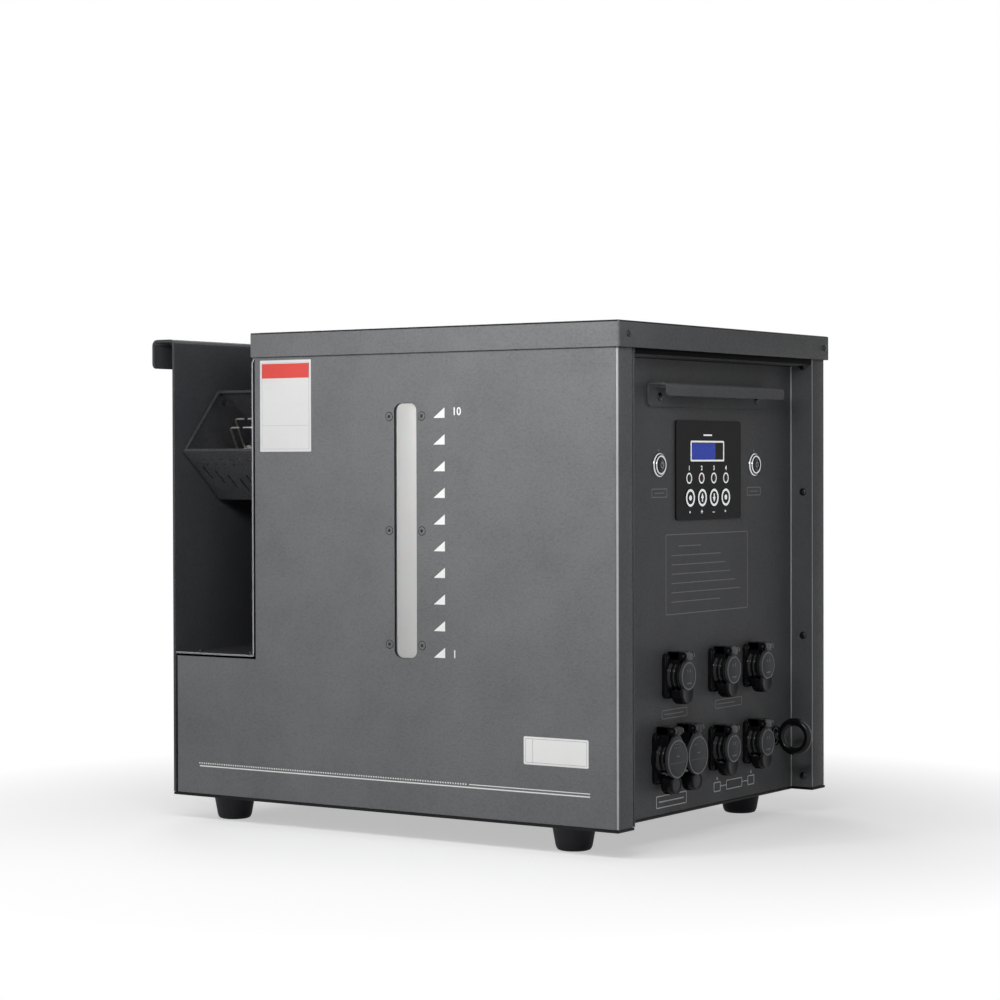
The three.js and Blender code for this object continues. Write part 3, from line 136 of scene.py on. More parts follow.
def add(tree: bpy.types.NodeTree, kind: str, inputs: dict | None = None, **settings: object) -> bpy.types.Node:
    """Adds a node with its settings, values and links.

    Args:
        tree: The node tree.
        kind: The node's type.
        inputs: A value or another node's output for each input, by name or number.
        settings: The node's own properties.

    Returns:
        The node.
    """
    node = tree.nodes.new(kind)
    for name, value in settings.items():
        setattr(node, name, value)
    for name, value in (inputs or {}).items():
        if isinstance(value, bpy.types.NodeSocket):
            tree.links.new(value, node.inputs[name])
        else:
            node.inputs[name].default_value = value
    return node


def cleared(block: bpy.types.Material | bpy.types.World) -> bpy.types.NodeTree:
    """Gives the emptied node tree of a new material or world.

    Args:
        block: The material or world.

    Returns:
        Its node tree.
    """
    block.use_nodes = True
    block.node_tree.nodes.clear()
    return block.node_tree


def linked(name: str, data: bpy.types.ID) -> bpy.types.Object:
    """Puts a new object in the scene.

    Args:
        name: Its name.
        data: Its mesh, curve, lamp or camera.

    Returns:
        The object.
    """
    made = bpy.data.objects.new(name, data)
    bpy.context.scene.collection.objects.link(made)
    return made


def inset(area: Area, margin: float) -> Area:
    """Gives an area made smaller by a margin on every side."""
    left, low, right, high = area
    return left + margin, low + margin, right - margin, high - margin


@dataclass(frozen=True)
class Finish:
    """A real surface: its material, how it was made, and what that gives the eye.

    Sizes are in millimetres. The second colour is what the first drifts to in soft patches, as dust, wear or an
    uneven coat make it.
    """

    name: str
    colour: str
    drift: str
    roughness: float
    texture: Texture
    metallic: float = 0.0
    spread: float = 0.06
    patch: float = 60.0
    grain: float = 1.5
    relief: float = 0.02
    stretch: tuple[float, float, float] = (1.0, 1.0, 1.0)
    specular: float = 0.5
    milky: float = 0.0
    glow: float = 0.0

    def batch(self, name: str, colour: str, drift: str, **changes: float) -> Finish:
        """Gives another batch of this finish, with its own name, colours and changed values."""
        return replace(self, name=name, colour=colour, drift=drift, **changes)

    def material(self) -> bpy.types.Material:
        """Gives the material, and makes it the first time.

        Returns:
            The material, with its whole node tree.
        """
        found = bpy.data.materials.get(self.name)
        if found is not None:
            return found
        material = bpy.data.materials.new(self.name)
        tree = cleared(material)
        coordinates = add(tree, "ShaderNodeTexCoord").outputs["Object"]
        place = add(tree, "ShaderNodeMapping", {"Vector": coordinates, "Scale": self.stretch}).outputs["Vector"]
        patches = add(tree, "ShaderNodeTexNoise", {
            "Vector": coordinates, "Scale": METRE / self.patch, "Detail": 4.0, "Roughness": 0.6,
        }).outputs["Fac"]
        spots = self.pattern(tree, place)
        weight = add(tree, "ShaderNodeMapRange", {
            "Value": patches, "From Min": 0.35, "From Max": 0.7, "To Min": 0.0, "To Max": 1.0,
        }).outputs["Result"]
        both = add(tree, "ShaderNodeMath", {0: weight, 1: spots}, operation="ADD").outputs[0]
        share = add(tree, "ShaderNodeMath", {0: both, 1: 0.5}, operation="MULTIPLY", use_clamp=True).outputs[0]
        blend = add(tree, "ShaderNodeMix", {
            "Factor": share, 6: linear(self.colour), 7: linear(self.drift),
        }, data_type="RGBA").outputs[2]
        gloss = add(tree, "ShaderNodeMapRange", {
            "Value": spots, "To Min": max(0.02, self.roughness - self.spread), "To Max": self.roughness + self.spread,
        }).outputs["Result"]
        bump = add(tree, "ShaderNodeBump", {
            "Height": spots, "Distance": self.relief / METRE, "Strength": 1.0,
        }).outputs["Normal"]
        shader = add(tree, "ShaderNodeBsdfPrincipled", {
            "Base Color": blend, "Roughness": gloss, "Normal": bump, "Metallic": self.metallic,
            "Specular IOR Level": self.specular, "Subsurface Weight": self.milky, "Subsurface Scale": 0.003,
            "Emission Color": linear(self.colour), "Emission Strength": self.glow,
        })
        add(tree, "ShaderNodeOutputMaterial", {"Surface": shader.outputs["BSDF"]})
        return material

    def pattern(self, tree: bpy.types.NodeTree, place: bpy.types.NodeSocket) -> bpy.types.NodeSocket:
        """Adds the fine pattern of the surface's texture and gives its height from 0 to 1.

        Args:
            tree: The material's node tree.
            place: The coordinates of the pattern.

        Returns:
            The output that carries the height.
        """
        scale = METRE / self.grain
        if self.texture is Texture.RASTER:
            return add(tree, "ShaderNodeTexWave", {
                "Vector": place, "Scale": scale / 20, "Distortion": 0.0, "Detail": 0.0,
            }, bands_direction="Z").outputs["Fac"]
        if self.texture in (Texture.PLATED, Texture.COATED):
            cells = add(tree, "ShaderNodeTexVoronoi", {"Vector": place, "Scale": scale}, feature="SMOOTH_F1")
            noise = add(tree, "ShaderNodeTexNoise", {"Vector": place, "Scale": scale * 0.8, "Detail": 3.0})
            peel = add(tree, "ShaderNodeMath", {0: cells.outputs["Distance"], 1: noise.outputs["Fac"]},
                       operation="MULTIPLY").outputs[0]
            return add(tree, "ShaderNodeMapRange", {
                "Value": peel, "From Min": 0.08, "From Max": 0.38,
            }).outputs["Result"]
        detail = 6.0 if self.texture is Texture.BRUSHED else 2.0
        return add(tree, "ShaderNodeTexNoise", {"Vector": place, "Scale": scale, "Detail": detail}).outputs["Fac"]


# Steel sheet with baked grey powder: a soft orange peel that spreads every highlight
GREY_COAT = Finish("powder_coated_steel_grey", "#767779", "#67686a", 0.46, Texture.COATED, grain=1.9, relief=0.16,
                   specular=0.09)
# The same powder on the control panel, a little darker as painted shade for the casing's shaded side
PANEL_SHADE_COAT = GREY_COAT.batch("powder_coated_steel_panel", "#6c6d6f", "#636466", grain=2.0, relief=0.08)
# The same powder on the end plate, darker as painted shade for the shade inside the burner bay
END_PLATE_SHADE_COAT = PANEL_SHADE_COAT.batch("powder_coated_steel_dulled", "#4b4c50", "#424347", roughness=0.5, relief=0.06)
# The same powder in the burner bay, darker still as painted shade for the bay's deep shade
BAY_SHADE_COAT = END_PLATE_SHADE_COAT.batch("powder_coated_steel_bay", "#39393d", "#303034", roughness=0.52, patch=35.0)
# Near-black powder with soot: almost no highlight left
BURNER_COAT = END_PLATE_SHADE_COAT.batch("powder_coated_steel_sooted", "#4f5053", "#3c3c3e", patch=25.0, grain=1.8)
# Near-black powder as painted shade: on the base plate for the shade under the casing's lower edge, and along the
# level folds for their dark line
PAINTED_SHADE_COAT = END_PLATE_SHADE_COAT.batch("powder_coated_steel_black", "#1f1f21", "#262628", relief=0.05)
# Paler, smoother powder on the middle of folds and on cut edges: a painted highlight for the light line that a fold
# catches
FOLD_HIGHLIGHT_COAT = Finish("powder_coated_steel_edge", "#cacbcd", "#b3b4b7", 0.26, Texture.COATED, grain=1.4)
# Matt black as painted shadow: a strip under the lid's skirt and a lip along one side of the level window's slot
SHADOW_BLACK = Finish("foam_seal_black", "#131315", "#1a1a1c", 0.85, Texture.MOULDED, grain=0.8, relief=0.03, specular=0.05)
# Injection-moulded nylon from a polished mould: deep black with sharp lights
GLOSS_PLASTIC = Finish("moulded_nylon_black_gloss", "#141416", "#1e1e21", 0.1, Texture.MOULDED, grain=1.4,
                       relief=0.008, specular=0.22)
# Injection-moulded nylon from an eroded mould: a flat grey
MATT_PLASTIC = Finish("moulded_nylon_grey_matt", "#4e4f53", "#45464a", 0.55, Texture.MOULDED, grain=1.0,
                      relief=0.015, specular=0.15)
# The same nylon in black, where thumbs have dulled it
DARK_PLASTIC = MATT_PLASTIC.batch("moulded_nylon_black_dulled", "#1b1b1e", "#252528", roughness=0.42, relief=0.012,
                                  specular=0.1)
# The same nylon in a paler batch, for the hinge knuckles and the grip dots
PALE_PLASTIC = MATT_PLASTIC.batch("moulded_nylon_grey_pale", "#6a6b6e", "#5f6063", roughness=0.45, specular=0.25)
# The lids' raised marks and rims, a little paler; on the rims the paleness is a painted highlight of their edges
MARKS_AND_RIM_HIGHLIGHT = MATT_PLASTIC.batch("moulded_nylon_grey_rubbed", "#707175", "#646569", roughness=0.4, specular=0.5)
# Screen-printed polyester membrane: smooth black with a soft sheen
MEMBRANE = Finish("printed_polyester_black", "#1a1a1d", "#202023", 0.4, Texture.MOULDED, grain=1.2, relief=0.006,
                  specular=0.06)
# Moulded rubber: dull, with dust in its grain
RUBBER = Finish("moulded_rubber_black", "#333338", "#3f3f44", 0.62, Texture.MOULDED, grain=1.6, relief=0.03,
                patch=18.0, specular=0.12)
# Polished chrome plate
CHROME = Finish("chrome_plated_brass_polished", "#d8dadc", "#c6c9cc", 0.08, Texture.MOULDED, metallic=1.0,
                spread=0.03, relief=0.002)
# Brushed stainless steel: hairlines across the face
STEEL = Finish("stainless_steel_brushed", "#8f9194", "#7c7e81", 0.32, Texture.BRUSHED, metallic=1.0, grain=0.8,
               relief=0.006, stretch=(1.0, 1.0, 0.06))
# Drawn heat-resisting wire: pale, dulled by the flame
HOT_WIRE = Finish("heat_resisting_wire_drawn", "#b4b4b6", "#9a9693", 0.36, Texture.BRUSHED, metallic=0.7, grain=0.8,
                  relief=0.006, patch=8.0)
# Zinc-plated steel: bright with a faint spangle
ZINC = Finish("steel_zinc_plated", "#b4b3ac", "#a2a29c", 0.3, Texture.PLATED, metallic=1.0, grain=4.0, relief=0.01)
# Black-oxide screws: dark with oily lights on their edges
BLACK_OXIDE = Finish("steel_black_oxide", "#26272a", "#333437", 0.26, Texture.BRUSHED, metallic=0.6, grain=0.7,
                     relief=0.01)
# Turned brass: warm, with faint tool rings
BRASS = Finish("brass_turned", "#b8924c", "#a07c3c", 0.28, Texture.BRUSHED, metallic=1.0, grain=0.6, relief=0.008,
               stretch=(1.0, 1.0, 0.2))
# Glazed alumina
CERAMIC = Finish("alumina_glazed", "#e2ddd0", "#cfc8b8", 0.25, Texture.FIRED, grain=2.0, relief=0.01, patch=14.0)
# Frosted polyethylene, blow-moulded: milky, lit from inside by what stands behind it
POLYETHYLENE = Finish("polyethylene_frosted", "#c1c1bf", "#b8b8b7", 0.42, Texture.MOULDED, grain=2.4, patch=120.0,
                      milky=0.25)
# Screen-printing ink: thin, opaque, slightly rough
WHITE_INK = Finish("screen_print_white", "#f5f5f4", "#ececeb", 0.5, Texture.MOULDED, grain=0.9, relief=0.008)
GREY_INK = WHITE_INK.batch("screen_print_grey", "#b9b9b8", "#a9a9a8")
FAINT_INK = WHITE_INK.batch("screen_print_faint", "#98989a", "#88888a")
# Legends printed on the black membrane, given a painted glow so that they read bright without a lamp
GLOWING_PRINT = WHITE_INK.batch("membrane_legend_backlit", "#ecedee", "#e0e1e3", roughness=0.4, relief=0.004, glow=0.62)
# Vinyl film, printed and laminated
WHITE_VINYL = Finish("vinyl_film_white", "#dcdcdc", "#d4d4d4", 0.35, Texture.MOULDED, grain=3.0, relief=0.006)
RED_VINYL = WHITE_VINYL.batch("vinyl_film_red", "#d9463d", "#cc3f38")
# Backlit liquid-crystal pane behind clear film: even blue, drawn in fine rows
BLUE_SCREEN = Finish("display_pane_blue", "#2c3fa6", "#3a55c8", 0.22, Texture.RASTER, grain=0.9, relief=0.002,
                     patch=16.0, glow=0.5, specular=0.08)
# The pane's dark end, under the same film
DARK_SCREEN = Finish("display_pane_dark", "#1d1b1a", "#282420", 0.3, Texture.MOULDED, relief=0.002, specular=0.06)
# Moulded acrylic lamp lenses, unlit
LENS = Finish("acrylic_lens_smoked", "#242426", "#2d2d2f", 0.16, Texture.MOULDED, relief=0.002, specular=0.15)
LENS_RED = LENS.batch("acrylic_lens_red", "#4a1c20", "#552428")
# Solder-masked circuit board
BOARD = Finish("circuit_board_solder_mask", "#1c4a32", "#235a3c", 0.35, Texture.PLATED, grain=2.5)
# Silicone insulation of the spark lead
SILICONE = Finish("silicone_lead_red", "#96382a", "#a54534", 0.5, Texture.MOULDED, grain=1.2, patch=10.0)
# Cast aluminium of the pump
CASTING = Finish("cast_aluminium_grey", "#8a8c8e", "#7a7c7e", 0.45, Texture.PLATED, metallic=0.8, grain=2.0,
                 relief=0.05)


def slot_of(node: str) -> str:
    """Gives the record's material slot of a CAD node."""
    return next(part["material_slot"] for part in frame["record"]["subparts"] if part["node"] == node)


def show(mesh: bpy.types.Mesh, name: str, finishes: Sequence[Finish], body: str, slot: str,
         nodes: Sequence[str]) -> bpy.types.Object:
    """Puts a finished mesh on the model.

    Args:
        mesh: The mesh, in the frame's metres.
        name: The piece's name.
        finishes: The finish of each of its material indices.
        body: The body that it moves with.
        slot: The record's material slot; not used.
        nodes: The CAD nodes that it stands for.

    Returns:
        The object.
    """
    for finish in finishes:
        mesh.materials.append(finish.material())
    piece = linked(name, mesh)
    if nodes:
        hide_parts(*nodes)
    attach(piece, body)
    log.info("%s rides on %s", name, body)
    return piece


def in_fold(face: bmesh.types.BMFace, length: float = 0.06, width: float = 0.003, lean: float = 0.87) -> bool:
    """Tells the middle of a sheet's fold from its flat faces.

    Args:
        face: A face of the merged mesh.
        length: How long a fold is at least, in metres.
        width: How wide one facet of a fold is at most, in metres.
        lean: How far its normal lies along one axis at most.

    Returns:
        Whether the face lies in the middle of a fold.
    """
    longest = max(edge.calc_length() for edge in face.edges)
    return longest > length and face.calc_area() < longest * width and max(abs(part) for part in face.normal) < lean


def softened(node: str, finish: Finish, edge: float = 0.3, limit: float = 50.0, fold: Finish | None = None,
             level: Finish | None = None, rims: bool = False) -> None:
    """Carries a CAD node over with its facets smoothed and its edges rounded.

    Args:
        node: The CAD node.
        finish: The finish of its surface.
        edge: The radius of its edges, in millimetres.
        limit: The angle from which an edge counts as sharp, in degrees.
        fold: The finish painted on the middle of its folds as a painted highlight, if it differs.
        level: The finish of its level folds, if it differs from that of the upright ones: painted shade, or a faint
            painted highlight.
        rims: Whether its rounded edges take the painted highlight of its folds.
    """
    weld, flat, rise = 2e-6, math.radians(1), 0.3
    source = frame["nodes"][node]
    made = bmesh.new()
    made.from_mesh(source.data)
    bmesh.ops.remove_doubles(made, verts=made.verts, dist=weld)
    bmesh.ops.dissolve_limit(made, angle_limit=flat, verts=made.verts, edges=made.edges)
    finishes = [finish] + [extra for extra in (fold, level) if extra]
    for face in made.faces:
        face.smooth = True
        face.material_index = 0
        # The middle strip of each fold takes a painted highlight, or on level folds the level finish: painted shade or
        # a faint painted highlight
        if fold and in_fold(face):
            face.material_index = 2 if level and abs(face.normal.z) > rise else 1
    mesh = bpy.data.meshes.new(f"{node}_sheet")
    made.to_mesh(mesh)
    made.free()
    mesh.set_sharp_from_angle(angle=math.radians(limit))
    piece = show(mesh, f"{node}_finished", finishes, source["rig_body"], slot_of(node), [node])
    rounding = piece.modifiers.new("edges", "BEVEL")
    rounding.width = edge / METRE
    rounding.segments = 2
    rounding.limit_method = "ANGLE"
    rounding.angle_limit = math.radians(limit)
    rounding.harden_normals = True
    rounding.material = 1 if rims else -1


class Shape:
    """A mesh in the making, from turned, extruded and bevelled parts, in the cabinet's millimetres."""

    WELD = 1e-4  # points nearer than this are one
    SHARP = math.radians(32)  # edges are rounded from this angle on
    CORNER_STEPS = 6  # faces across a block's rounded corner
    BEND_STEPS = 8  # straight parts of a rod's bend
    FONT_SIZE = 1.38  # the font's size over the height of its figures
    FONT_WEIGHT = 0.02  # how much bolder the figures are, over their height

    def __init__(self, at: Matrix | None = None) -> None:
        """Starts an empty mesh.

        Args:
            at: The placing that its parts are drawn at.
        """
        self.at = at or Matrix.Identity(4)
        self.mesh = bmesh.new()
        self.paint = 0

    def take(self, made: bmesh.types.BMesh, turn: Matrix, edge: float = 0.0) -> None:
        """Rounds a part's sharp edges and adds it to the mesh.

        Args:
            made: The part.
            turn: Its placing in the piece's own directions.
            edge: The radius of its edges.
        """
        bmesh.ops.remove_doubles(made, verts=made.verts, dist=self.WELD)
        bmesh.ops.recalc_face_normals(made, faces=made.faces)
        if edge > 0:
            sharp = [side for side in made.edges if side.is_manifold and side.calc_face_angle() > self.SHARP]
            bmesh.ops.bevel(made, geom=sharp, offset=edge, segments=2, profile=0.5, affect="EDGES",
                            clamp_overlap=True, material=-1)
        bmesh.ops.transform(made, matrix=self.at @ turn, verts=made.verts)
        for face in made.faces:
            face.material_index = self.paint
            face.smooth = True
        part = bpy.data.meshes.new("part")
        made.to_mesh(part)
        made.free()
        self.mesh.from_mesh(part)
        bpy.data.meshes.remove(part)

    def turned(self, profile: Sequence[Point], centre: Point = ORIGIN, along: Along = Along.OUT, steps: int = 48,
               edge: float = 0.0) -> None:
        """Adds a turned part.

        Args:
            profile: Its radii and heights, closed on itself where it leaves the axis.
            centre: A point of its axis.
            along: The direction of its axis.
            steps: The faces round it.
            edge: The radius of its edges.
        """
        made = bmesh.new()
        points = [made.verts.new((radius, 0.0, height)) for radius, height in profile]
        pairs = list(zip(points, points[1:]))
        if profile[0][0] > 0 or profile[-1][0] > 0:
            pairs.append((points[-1], points[0]))
        lines = [made.edges.new(pair) for pair in pairs]
        bmesh.ops.spin(made, geom=[*points, *lines], cent=ORIGIN, axis=(0, 0, 1), angle=math.tau, steps=steps,
                       use_merge=True)
        self.take(made, along.matrix(centre), edge)

    def disc(self, radius: float, low: float, high: float, centre: Point = ORIGIN, along: Along = Along.OUT,
             steps: int = 32, edge: float = 0.0) -> None:
        """Adds a round part from one height to another."""
        self.turned([(0, low), (radius, low), (radius, high), (0, high)], centre, along, steps, edge)

    def ring(self, inner: float, outer: float, low: float, high: float, centre: Point = ORIGIN,
             steps: int = 40) -> None:
        """Adds a flat ring from one height to another."""
        self.turned([(inner, low), (outer, low), (outer, high), (inner, high)], centre, steps=steps)

    def box(self, low: Point, high: Point, corner: float = 0.0, edge: float = 0.0) -> None:
        """Adds a block.

        Args:
            low: Its lowest corner.
            high: Its highest corner.
            corner: The radius of its upright corners.
            edge: The radius of its rims.
        """
        made = bmesh.new()
        bmesh.ops.create_cube(made, size=1.0)
        size = [b - a for a, b in zip(low, high)]
        bmesh.ops.scale(made, vec=size, verts=made.verts)
        bmesh.ops.translate(made, vec=[(a + b) / 2 for a, b in zip(low, high)], verts=made.verts)
        if corner > 0:
            uprights = [side for side in made.edges if abs((side.verts[0].co - side.verts[1].co).z) > size[2] / 2]
            bmesh.ops.bevel(made, geom=uprights, offset=corner, segments=self.CORNER_STEPS, profile=0.5,
                            affect="EDGES", material=-1)
        self.take(made, Matrix.Identity(4), edge)

    def strip(self, area: Area, base: float = 0.0, rise: float = SKIN, corner: float = 0.0, edge: float = 0.0) -> None:
        """Adds a thin block over an area, such as a printed line or a film."""
        left, low, right, high = area
        self.box((left, low, base), (right, high, base + rise), corner, edge)

    @staticmethod
    def raised(made: bmesh.types.BMesh, faces: list[bmesh.types.BMFace], rise: float) -> None:
        """Gives flat faces a thickness.

        Args:
            made: The part that they belong to.
            faces: The faces.
            rise: How far they are extruded upwards.
        """
        grown = bmesh.ops.extrude_face_region(made, geom=faces)["geom"]
        tops = [item for item in grown if isinstance(item, bmesh.types.BMVert)]
        bmesh.ops.translate(made, vec=(0, 0, rise), verts=tops)

    def prism(self, outline: Sequence[Point], low: float, high: float, along: Along = Along.OUT,
              edge: float = 0.0) -> None:
        """Adds an extruded outline.

        Args:
            outline: Its points in order.
            low: The height where it begins.
            high: The height where it ends.
            along: The direction of its heights.
            edge: The radius of its edges.
        """
        made = bmesh.new()
        face = made.faces.new([made.verts.new((u, v, low)) for u, v in outline])
        self.raised(made, [face], high - low)
        self.take(made, along.matrix(ORIGIN), edge)

    def outline(self, area: Area, line: float, corner: float, rise: float = SKIN, base: float = 0.0) -> None:
        """Adds a thin frame with rounded corners, such as a printed border.

        Args:
            area: What its outer edge encloses.
            line: How wide its line is.
            corner: The radius of its outer corners.
            rise: How thick it is.
            base: The height where it begins.
        """
        left, low, right, high = area
        made = bmesh.new()
        bmesh.ops.create_circle(made, cap_ends=True, segments=4, radius=math.sqrt(0.5))
        bmesh.ops.rotate(made, verts=made.verts, cent=ORIGIN, matrix=Matrix.Rotation(math.pi / 4, 3, "Z"))
        bmesh.ops.scale(made, vec=(right - left, high - low, 1), verts=made.verts)
        bmesh.ops.translate(made, vec=((left + right) / 2, (low + high) / 2, base), verts=made.verts)
        bmesh.ops.bevel(made, geom=made.verts[:], offset=corner, segments=4, profile=0.5, affect="VERTICES",
                        material=-1)
        middle = made.faces[:]
        bmesh.ops.inset_region(made, faces=middle, thickness=line, use_boundary=True, use_even_offset=True)
        bmesh.ops.delete(made, geom=middle, context="FACES_ONLY")
        self.raised(made, made.faces[:], rise)
        self.take(made, Matrix.Identity(4))

    def rod(self, points: Sequence[Point], radius: float, bend: float) -> None:
        """Adds a round rod along straight runs.

        Args:
            points: Its two ends and the corners between them.
            radius: Its radius.
            bend: How far from a corner its bend begins.
        """
        corners = [Vector(point) for point in points]
        route = [corners[0]]
        for before, corner, after in zip(corners, corners[1:], corners[2:]):
            start = corner + (before - corner).normalized() * min(bend, (before - corner).length / 2)
            end = corner + (after - corner).normalized() * min(bend, (after - corner).length / 2)
            for step in range(self.BEND_STEPS + 1):
                share = step / self.BEND_STEPS
                route.append(start.lerp(corner, share).lerp(corner.lerp(end, share), share))
        route.append(corners[-1])
        curve = bpy.data.curves.new("rod", "CURVE")
        curve.dimensions = "3D"
        curve.bevel_depth = radius
        curve.bevel_resolution = 3
        curve.use_fill_caps = True
        spline = curve.splines.new("POLY")
        spline.points.add(len(route) - 1)
        for spot, point in zip(spline.points, route):
            spot.co = (*point, 1.0)
        self.from_curve(curve, Matrix.Identity(4))

    def figure(self, text: str, height: float, centre: Point) -> None:
        """Adds a printed figure or sign.

        Args:
            text: What it shows.
            height: How tall its figures are.
            centre: The middle of its foot plane.
        """
        curve = bpy.data.curves.new("figure", "FONT")
        curve.body = text
        curve.size = height * self.FONT_SIZE
        curve.align_x = "CENTER"
        curve.align_y = "CENTER"
        curve.extrude = SKIN / 2
        curve.offset = height * self.FONT_WEIGHT
        self.from_curve(curve, Matrix.Translation(centre) @ Matrix.Translation((0, 0, SKIN / 2)))

    def from_curve(self, curve: bpy.types.Curve, turn: Matrix) -> None:
        """Makes a curve a mesh and adds it.

        Args:
            curve: The curve or text.
            turn: Its placing in the piece's own directions.
        """
        holder = linked("curve", curve)
        bpy.context.view_layer.update()
        mesh = bpy.data.meshes.new_from_object(holder.evaluated_get(bpy.context.evaluated_depsgraph_get()))
        bpy.data.objects.remove(holder)
        made = bmesh.new()
        made.from_mesh(mesh)
        bpy.data.meshes.remove(mesh)
        self.take(made, turn)

    def piece(self, name: str, finishes: Sequence[Finish], body: str = "cabinet", slot: str = CASING_SLOT,
              nodes: Sequence[str] = (), sharp: float = 38.0) -> None:
        """Ends the mesh and shows it.

        Args:
            name: The piece's name.
            finishes: The finish of each paint number.
            body: The body that it moves with.
            slot: The record's material slot, where the piece stands for no node.
            nodes: The CAD nodes that it stands for.
            sharp: The angle from which an edge isn't smoothed, in degrees.
        """
        bmesh.ops.transform(self.mesh, matrix=CABINET_TO_FRAME, verts=self.mesh.verts)
        mesh = bpy.data.meshes.new(name)
        self.mesh.to_mesh(mesh)
        self.mesh.free()
        mesh.set_sharp_from_angle(angle=math.radians(sharp))
        show(mesh, name, finishes, body, slot_of(nodes[0]) if nodes else slot, nodes)


def arc(radius: float, start: float, end: float, steps: int, centre: Point = (0, 0)) -> list[tuple[float, float]]:
    """Gives the points of an arc, for an outline.

    Args:
        radius: Its radius.
        start: Its first angle, in degrees.
        end: Its last angle, in degrees.
        steps: How many parts it has.
        centre: Its centre.

    Returns:
        The points in order.
    """
    angles = [math.radians(start + (end - start) * step / steps) for step in range(steps + 1)]
    return [(centre[0] + radius * math.cos(angle), centre[1] + radius * math.sin(angle)) for angle in angles]


@dataclass
class Cabinet:
    """The folded casing, its handle and its feet."""

    lid_end: float = 490.0
    lid_shadow_band: Area = (28.2, 400.6, 349.8, 405.4)
    foot_columns: tuple[float, float] = (40.0, 420.0)
    foot_rows: tuple[float, float] = (41.0, 337.0)
    foot_seat: float = -3.0
    foot_height: float = 23.5
    foot_top: float = 20.0
    foot_low: float = 15.5
    recess_radius: float = 6.0
    recess_depth: float = 7.0
    foot_screw: tuple[Point, ...] = ((0, 0), (5.4, 0), (5.4, 0.8), (4.2, 0.8), (4.0, 2.2), (3.0, 3.0), (1.8, 3.1),
                                     (1.7, 1.4), (0, 1.4))

    def build(self) -> None:
        """Finishes the sheets and makes the feet."""
        # Pale strips on the upright folds are painted highlights; the dark level folds are painted shade
        for node in ("front_panel", "back_panel", "lid"):
            softened(node, GREY_COAT, 0.4, fold=FOLD_HIGHLIGHT_COAT, level=PAINTED_SHADE_COAT)
        # The base plate is near-black as painted shade under the casing's lower edge
        softened("base_plate", PAINTED_SHADE_COAT, 0.4)
        # The end plate is darker as painted shade for the bay; its level folds take the casing grey as a faint painted
        # highlight, its cut edges a painted highlight
        softened("left_end_plate", END_PLATE_SHADE_COAT, 0.6, fold=FOLD_HIGHLIGHT_COAT, level=GREY_COAT, rims=True)
        # The bay liner is darker still as painted shade for the bay
        softened("bay_liner", BAY_SHADE_COAT, 0.5, fold=FOLD_HIGHLIGHT_COAT, rims=True)
        # The control panel and its handle are a little darker as painted shade for the shaded side
        softened("control_panel", PANEL_SHADE_COAT, 0.4, fold=FOLD_HIGHLIGHT_COAT, level=PAINTED_SHADE_COAT)
        softened("panel_handle", PANEL_SHADE_COAT, 0.45)
        # A black strip on the rail under the lid's skirt: painted shadow where the lid shades the recess
        shadow_band = Shape(Facing.RIGHT.at(self.lid_end, 0, 0))
        shadow_band.strip(self.lid_shadow_band, edge=0.03)
        shadow_band.piece("lid_seal_strip", [SHADOW_BLACK])
        softened("tank_cradle", ZINC)
        for row, y in zip(("front", "back"), self.foot_rows):
            for column, x in zip(("left", "right"), self.foot_columns):
                self.foot(f"foot_{row}_{column}", x, y)

    def foot(self, node: str, x: float, y: float) -> None:
        """Makes a moulded rubber foot with a steel washer and screw in its recess.

        Args:
            node: The foot's CAD node.
            x: Its place from the bay's end.
            y: Its place from the front.
        """
        top, foot, low, bore = self.foot_top, self.foot_low, -self.foot_height, self.recess_radius
        ceiling = low + self.recess_depth
        shape = Shape(Facing.TOP.at(x, y, self.foot_seat))
        shape.turned([
            (0, 0), (top, 0), (top - 0.1, -1.6), (top - 0.8, -2.2), (foot + 0.7, low + 4.5), (foot - 0.1, low + 2.2),
            (foot - 1.2, low + 0.7), (foot - 3.0, low), (bore + 0.6, low), (bore, low + 0.6), (bore, ceiling),
            (0, ceiling),
        ], steps=64)
        shape.piece(f"{node}_moulded", [RUBBER], nodes=[node], sharp=60)
        screw = Shape(Facing.UNDER.at(x, y, self.foot_seat + ceiling))
        screw.turned(self.foot_screw, steps=32)
        screw.piece(f"{node}_screw", [ZINC])


@dataclass(frozen=True)
class ScrewGroup:
    """Like screws on one side of the casing, one wherever their places across, behind and above meet."""

    facing: Facing
    radius: float
    across: tuple[float, ...]
    behind: tuple[float, ...]
    above: tuple[float, ...]

    def placings(self) -> list[Matrix]:
        """Gives the placing of every screw."""
        return [self.facing.at(*place) for place in product(self.across, self.behind, self.above)]


